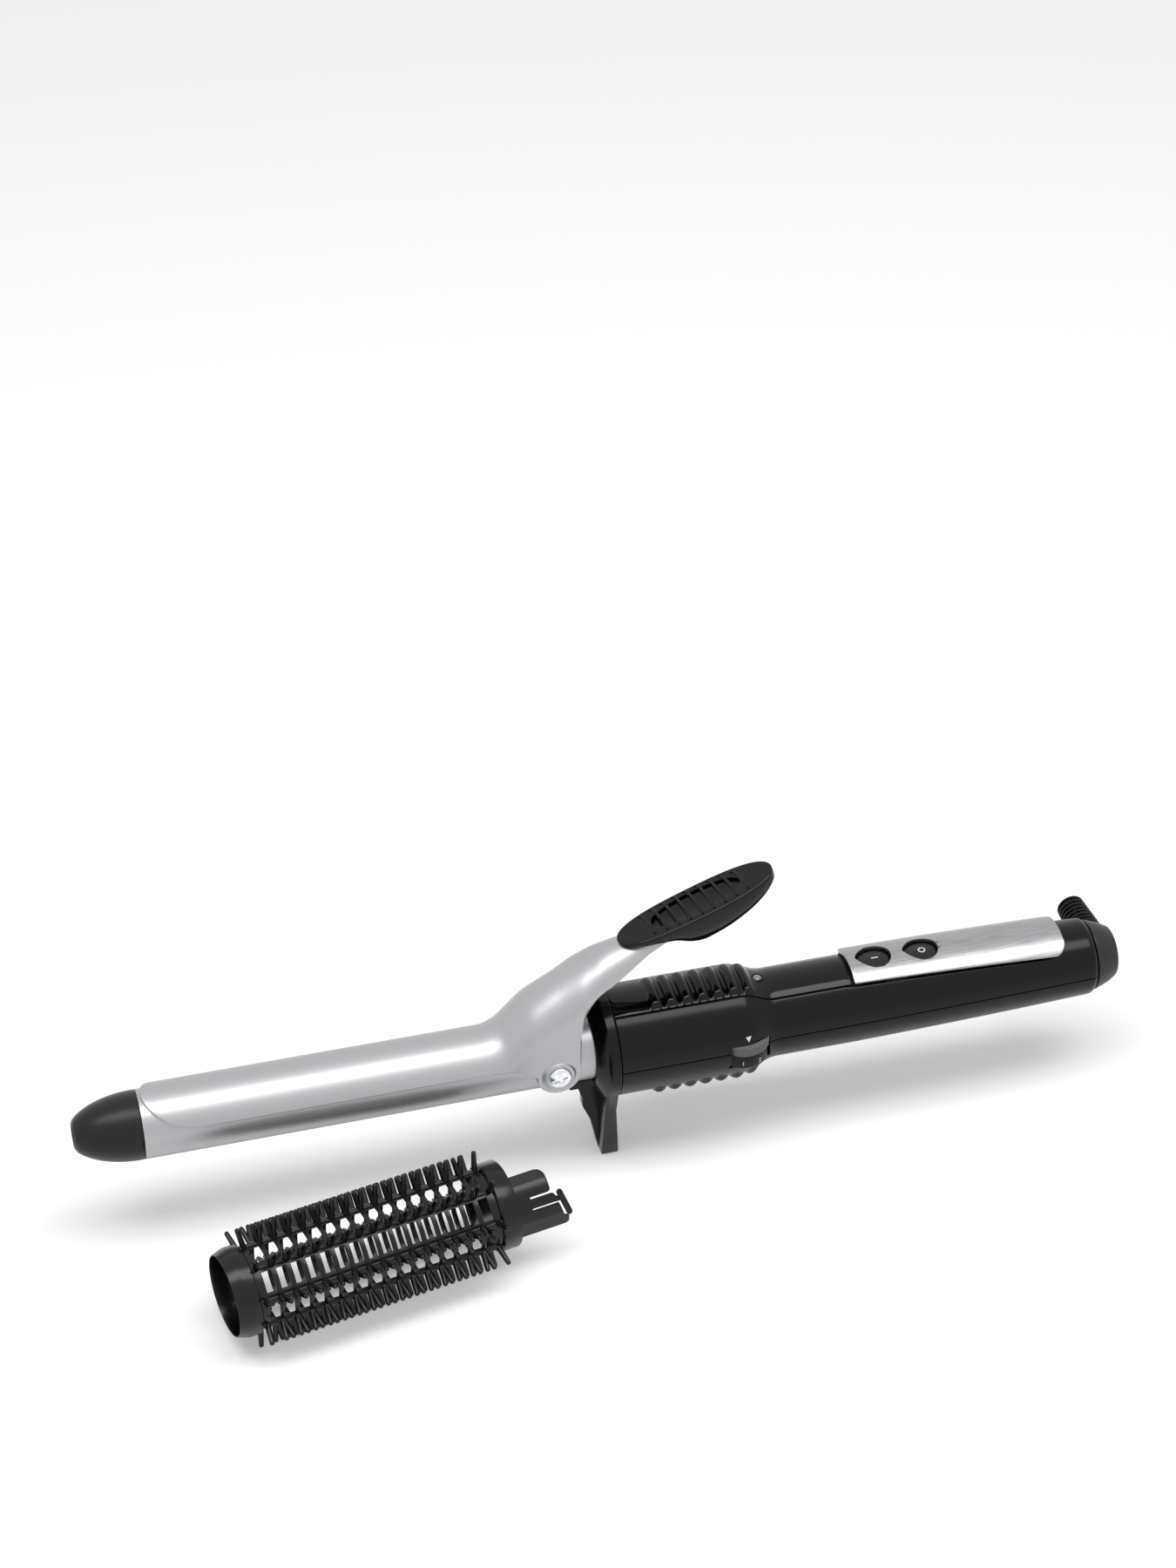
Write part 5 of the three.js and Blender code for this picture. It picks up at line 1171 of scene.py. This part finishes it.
# %% Boot
BOOT_LENGTH, BOOT_RIBS, BOOT_BASE, BOOT_TIP = 13.0, 8, 4.7, 4.0
boot_start = CAP_FLAT + 0.05
step = BOOT_LENGTH / BOOT_RIBS
WAIST = 0.75
boot_profile = [(boot_start - 0.5, 0.9), (boot_start - 0.5, 2.4)]
for i in range(BOOT_RIBS):
    y = boot_start + 0.25 + i * step
    radius = BOOT_BASE + (BOOT_TIP - BOOT_BASE) * i / (BOOT_RIBS - 1)
    waist = radius - WAIST
    boot_profile += [(y, waist), (y + 0.05, radius - 0.25), (y + 0.25, radius), (y + step * 0.42, radius),
                     (y + step * 0.58, radius - 0.25), (y + step * 0.62, waist)]
boot_end = boot_start + 0.25 + BOOT_LENGTH - 0.35
boot_profile += [(boot_end, BOOT_TIP - WAIST), (boot_end, 1.8), (boot_end - 3, 1.6), (boot_end - 3, 0.9),
                 (boot_start - 0.5, 0.9)]
boot = spun("boot", boot_profile, 48)
placed(boot, Matrix.Translation((BOOT_X, 0, 0)) @ Matrix.Rotation(math.pi / 2, 4, "Z"))
smooth(boot, 45)
settle(boot, TONG, "swivel", "boot_rubber", boot_rubber, "cord_boot")

# %% [markdown]
# ## Brush sleeve
# The sleeve is one glossy moulding: a cage of hoops and bars between two rings, and a pair of wings with
# the latch behind. We lay the cage as a tube whose columns follow the bars and whose rows follow the
# hoops, and delete the faces between them, so every window is true. Then it gets its wall and soft edges.

# %% Cage of the sleeve
ROWS = 8
FIRST_ROW = 22.5           # degrees up from level, on the near side
ROW_STEP = 360 / ROWS
BORE = 10.9
HOOP, CAGE = 11.3, 11.5    # outer radius of the hoops, and of the wings behind them
LAP = 1.5                  # how far the cage and the wings reach under the rings
RING_LENGTH = 6.4
COLLAR_FROM, COLLAR_TO = 75.0, 80.4
PITCH, STATIONS = 4.1, 17
FIRST_STATION = (RING_LENGTH + COLLAR_FROM - (STATIONS - 1) * PITCH) / 2
HOOP_HALF = 0.72
BAR_HALF_ANGLE = 6.9


def on_brush(x, radius, angle):
    """A point about the brush's axis, at an angle up from level on the near side."""
    turn = math.radians(angle)
    return (x, -radius * math.cos(turn), radius * math.sin(turn))


cage_x = [RING_LENGTH - LAP]
for n in range(STATIONS - 1):
    hoop = FIRST_STATION + n * PITCH
    cage_x += [hoop + HOOP_HALF, hoop + PITCH - HOOP_HALF]
cage_x += [COLLAR_FROM + LAP]
cage_turns = []
for n in range(ROWS):
    bar = FIRST_ROW + n * ROW_STEP
    cage_turns += [bar - BAR_HALF_ANGLE, bar]
    cage_turns += [bar + BAR_HALF_ANGLE + (ROW_STEP - 2 * BAR_HALF_ANGLE) * k / 7 for k in range(7)]
cage_turns.append(cage_turns[0] + 360)


def on_cage(u, v):
    turn = cage_turns[round(v * (len(cage_turns) - 1))]
    return on_brush(cage_x[round(u * (len(cage_x) - 1))], HOOP, turn)


def in_window(x, y, z):
    angle = (math.degrees(math.atan2(z, -y)) - FIRST_ROW) % ROW_STEP
    off_bar = min(angle, ROW_STEP - angle)
    hoop = (x - FIRST_STATION) % PITCH
    between = FIRST_STATION < x < FIRST_STATION + (STATIONS - 1) * PITCH
    return between and off_bar > BAR_HALF_ANGLE and HOOP_HALF < hoop < PITCH - HOOP_HALF


sleeve = laid("brush_cage", len(cage_x) - 1, len(cage_turns) - 1, on_cage)
pick_faces(sleeve, in_window)
bpy.ops.mesh.delete(type="FACE")
leave()
thicken(sleeve, HOOP - BORE)
soften(sleeve, 0.14, 2, 50, clamp=False)
print(len(sleeve.data.polygons), "faces in the cage")

# %% Rings of the sleeve
front_ring = spun("front_ring", [
    (0.4, BORE), (0.08, BORE + 0.08), (0, BORE + 0.2), (0.1, BORE + 0.36), (BRUSH_NOSE_LENGTH - 0.6, 11.98),
    (BRUSH_NOSE_LENGTH - 0.2, 12.1), (BRUSH_NOSE_LENGTH + 0.1, BRUSH_RING),
    (RING_LENGTH - 0.3, BRUSH_RING), (RING_LENGTH, BRUSH_RING - 0.3), (RING_LENGTH, BORE), (0.4, BORE),
], 128)
rear_ring = spun("rear_ring", [
    (COLLAR_FROM, BORE), (COLLAR_FROM, BRUSH_RING - 0.3), (COLLAR_FROM + 0.3, BRUSH_RING),
    (COLLAR_TO - 0.4, BRUSH_RING), (COLLAR_TO - 0.1, BRUSH_RING - 0.12), (COLLAR_TO, BRUSH_RING - 0.4),
    (COLLAR_TO, BORE), (COLLAR_FROM, BORE),
], 128)

# %% Wings of the sleeve
LATCH_TURN = 32.5          # degrees up from level
LATCH_HALF = 1.35
SLOT = 0.5
LATCH_ROOT = 84.1
BAR_X, BAR_TURN, BAR_SLANT = 93.2, 22.0, 16.5
BAR_HALF_WIDTH, BAR_HALF_LENGTH = 0.85, 4.1
UPPER_REAR, LOWER_REAR = 90.2, 94.5
WING_TOP, WING_BOTTOM = 78.0, -18.0
FLAT_ABOVE, FLAT_BELOW = 61.0, 8.0

slot_turn = math.degrees((LATCH_HALF + SLOT) / CAGE)
per_degree = math.radians(1) * CAGE


def wing_radius(turn):
    """The wings are round in the middle and flat toward their long edges."""
    if turn > FLAT_ABOVE:
        middle, half = (FLAT_ABOVE + WING_TOP) / 2, (WING_TOP - FLAT_ABOVE) / 2
    elif turn < FLAT_BELOW:
        middle, half = (FLAT_BELOW + WING_BOTTOM) / 2, (FLAT_BELOW - WING_BOTTOM) / 2
    else:
        return CAGE
    return CAGE * math.cos(math.radians(half)) / math.cos(math.radians(turn - middle))


def round_corner(distance, radius):
    """How far an end draws back near a corner, at a distance from its side."""
    short = max(radius - distance, 0)
    return radius - math.sqrt(max(radius * radius - short * short, 0))


def upper_end(turn):
    inner = (turn - LATCH_TURN - slot_turn) * per_degree
    outer = (WING_TOP - turn) * per_degree
    return UPPER_REAR - round_corner(inner, 1.0) - round_corner(outer, 2.5)


def lower_end(turn):
    slant = math.radians(BAR_SLANT)
    along_bar = BAR_X + (BAR_TURN - turn) * per_degree * math.tan(slant)
    before_bar = along_bar - (BAR_HALF_WIDTH + SLOT) / math.cos(slant)
    past_bar = min(max((-1 - turn) / 3, 0), 1)
    outer = (turn - WING_BOTTOM) * per_degree
    return before_bar * (1 - past_bar) + LOWER_REAR * past_bar - round_corner(outer, 1.0)


def wing(name, start, stop, end_of):
    front = COLLAR_TO - LAP

    def on_wing(u, v):
        turn = start + (stop - start) * v
        x = front + (end_of(turn) - front) * u
        return on_brush(x, wing_radius(turn) - 0.02, turn)

    piece = laid(name, 12, 24, on_wing)
    thicken(piece, CAGE - BORE)
    return soften(piece, 0.14, 2, 50, clamp=False)


def on_root(u, v):
    turn = LATCH_TURN + (slot_turn + 2) * (2 * v - 1)
    return on_brush(COLLAR_TO - LAP + (LATCH_ROOT - 0.03 - COLLAR_TO + LAP) * u, CAGE - 0.02, turn)


root = laid("root", 2, 8, on_root)
thicken(root, CAGE - BORE)
upper_wing = wing("upper_wing", LATCH_TURN + slot_turn, WING_TOP, upper_end)
lower_wing = wing("lower_wing", LATCH_TURN - slot_turn, WING_BOTTOM, lower_end)
sleeve = joined([sleeve, front_ring, rear_ring, upper_wing, lower_wing, root], "brush_sleeve_body")
smooth(sleeve, 35)
settle(sleeve, BRUSH, "brush", "brush_plastic", brush_plastic, "brush_sleeve")

# %% [markdown]
# ## Bristles
# Each of the eight rows stands on a thin bar. At every hoop two bristles rise from one root, one leaning
# forward and one back, and the first and last hoops have one each. A bristle is spun once, copied along
# its row, and the finished row is copied round the sleeve.

# %% One row of bristles
BRISTLE_TIP = 17.15
BRISTLE_LEAN = 8.5
BRISTLE_SPLAY = 0.2
BRISTLE_SINK = 0.4
BAR_TOP = 11.75
BAR_HALF = 0.65

length = BRISTLE_TIP - BAR_TOP + BRISTLE_SINK
seed = spun("bristle", [
    (0, 0), (0, 0.90), (0.7, 0.82), (length - 1.0, 0.70), (length - 0.5, 0.67), (length - 0.2, 0.54),
    (length - 0.05, 0.34), (length, 0),
], 12)
crown = arc(0, BAR_TOP - 0.45, BAR_HALF, 0, 180, 8)
bar = pulled("bar", [(BAR_HALF, HOOP - 0.2)] + crown + [(-BAR_HALF, HOOP - 0.2)],
             RING_LENGTH - 0.1, COLLAR_FROM + 0.1, "front")
row = [bar]
for n in range(STATIONS):
    for lean in (-1, 1):
        if (lean < 0 and n == STATIONS - 1) or (lean > 0 and n == 0):
            continue
        bristle = copied(seed, "bristle")
        x = FIRST_STATION + n * PITCH + lean * BRISTLE_SPLAY
        row.append(placed(
            bristle,
            Matrix.Translation((x, 0, BAR_TOP - BRISTLE_SINK))
            @ Matrix.Rotation(math.radians(lean * BRISTLE_LEAN), 4, "Y")
            @ Matrix.Rotation(-math.pi / 2, 4, "Y"),
        ))
bpy.data.objects.remove(seed, do_unlink=True)
row = smooth(joined(row, "bristle_row"), 50)
print(len(row.data.polygons), "faces in a row of bristles")

# %% All rows
for n in range(ROWS):
    strip = copied(row, f"bristle_row_{n + 1}")
    placed(strip, Matrix.Rotation(math.radians(90 - FIRST_ROW - n * ROW_STEP), 4, "X"))
    settle(strip, BRUSH, "brush", "brush_plastic", brush_plastic, f"bristle_strip_{n + 1}")
bpy.data.objects.remove(row, do_unlink=True)

# %% [markdown]
# ## Brush latch
# A finger between two slots carries a cross bar that the user presses. It is a piece of its own, because
# it bends about its root. The finger follows the round of the sleeve, and the bar stands a little proud
# and slants.

# %% Latch
finger_turn = math.degrees(LATCH_HALF / CAGE)


def on_finger(u, v):
    neck = math.sin(min(max((u - 0.72) / 0.14, 0), 1) * math.pi / 2) ** 2
    half = finger_turn * (1 - 0.48 * neck)
    turn = LATCH_TURN - finger_turn * 0.52 * neck + half * (2 * v - 1)
    return on_brush(LATCH_ROOT + (BAR_X - LATCH_ROOT - 0.4) * u, CAGE - 0.02, turn)


finger = laid("latch_finger", 20, 8, on_finger)
thicken(finger, CAGE - BORE)
end = BAR_HALF_LENGTH - BAR_HALF_WIDTH
stadium = arc(0, end, BAR_HALF_WIDTH, 0, 180, 12) + arc(0, -end, BAR_HALF_WIDTH, 180, 360, 12)
cross = pulled("cross", stadium, BORE + 0.1, CAGE + 0.4)
soften(cross, 0.25, 3, 50)
placed(
    cross,
    Matrix.Rotation(math.radians(90 - BAR_TURN), 4, "X")
    @ Matrix.Translation((BAR_X, 0, 0))
    @ Matrix.Rotation(math.radians(BAR_SLANT), 4, "Z"),
)
latch = smooth(joined([finger, cross], "brush_latch_finger"), 40)
settle(latch, BRUSH, "latch", "brush_plastic", brush_plastic, "brush_latch")

# %% [markdown]
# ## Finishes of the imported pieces
# The heater, the wires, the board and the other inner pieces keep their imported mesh. They still get a
# finish each, because they show in a cut or an exploded view. The record names the finish of each node,
# so one table of colours serves them all.

# %% Inner pieces
INNER = {
    "dial_black": dial_black,
    "bare_aluminium": finish("bare_aluminium", (0.78, 0.78, 0.79), 0.38, 1, 1400, 0.02),
    "ceramic": finish("ceramic", (0.78, 0.76, 0.71), 0.55, 0, 900, 0.02),
    "red_wire": finish("red_wire", (0.55, 0.03, 0.02), 0.42, 0, 1500, 0.01),
    "blue_wire": finish("blue_wire", (0.03, 0.10, 0.45), 0.42, 0, 1500, 0.01),
    "spring_steel": finish("spring_steel", (0.52, 0.53, 0.55), 0.26, 1, 1800, 0.01),
    "brass_metal": finish("brass_metal", (0.78, 0.57, 0.26), 0.26, 1, 1500, 0.01),
    "board_green": finish("board_green", (0.02, 0.20, 0.07), 0.34, 0, 800, 0.02),
}
slots = {part["node"]: part["material_slot"] for part in frame["record"]["subparts"]}
kept = [name for name, node in frame["nodes"].items() if not node.hide_render]
for name in kept:
    node = frame["nodes"][name]
    node.data.materials.clear()
    node.data.materials.append(INNER[slots[name]])
print(len(kept), "packed pieces keep their mesh")
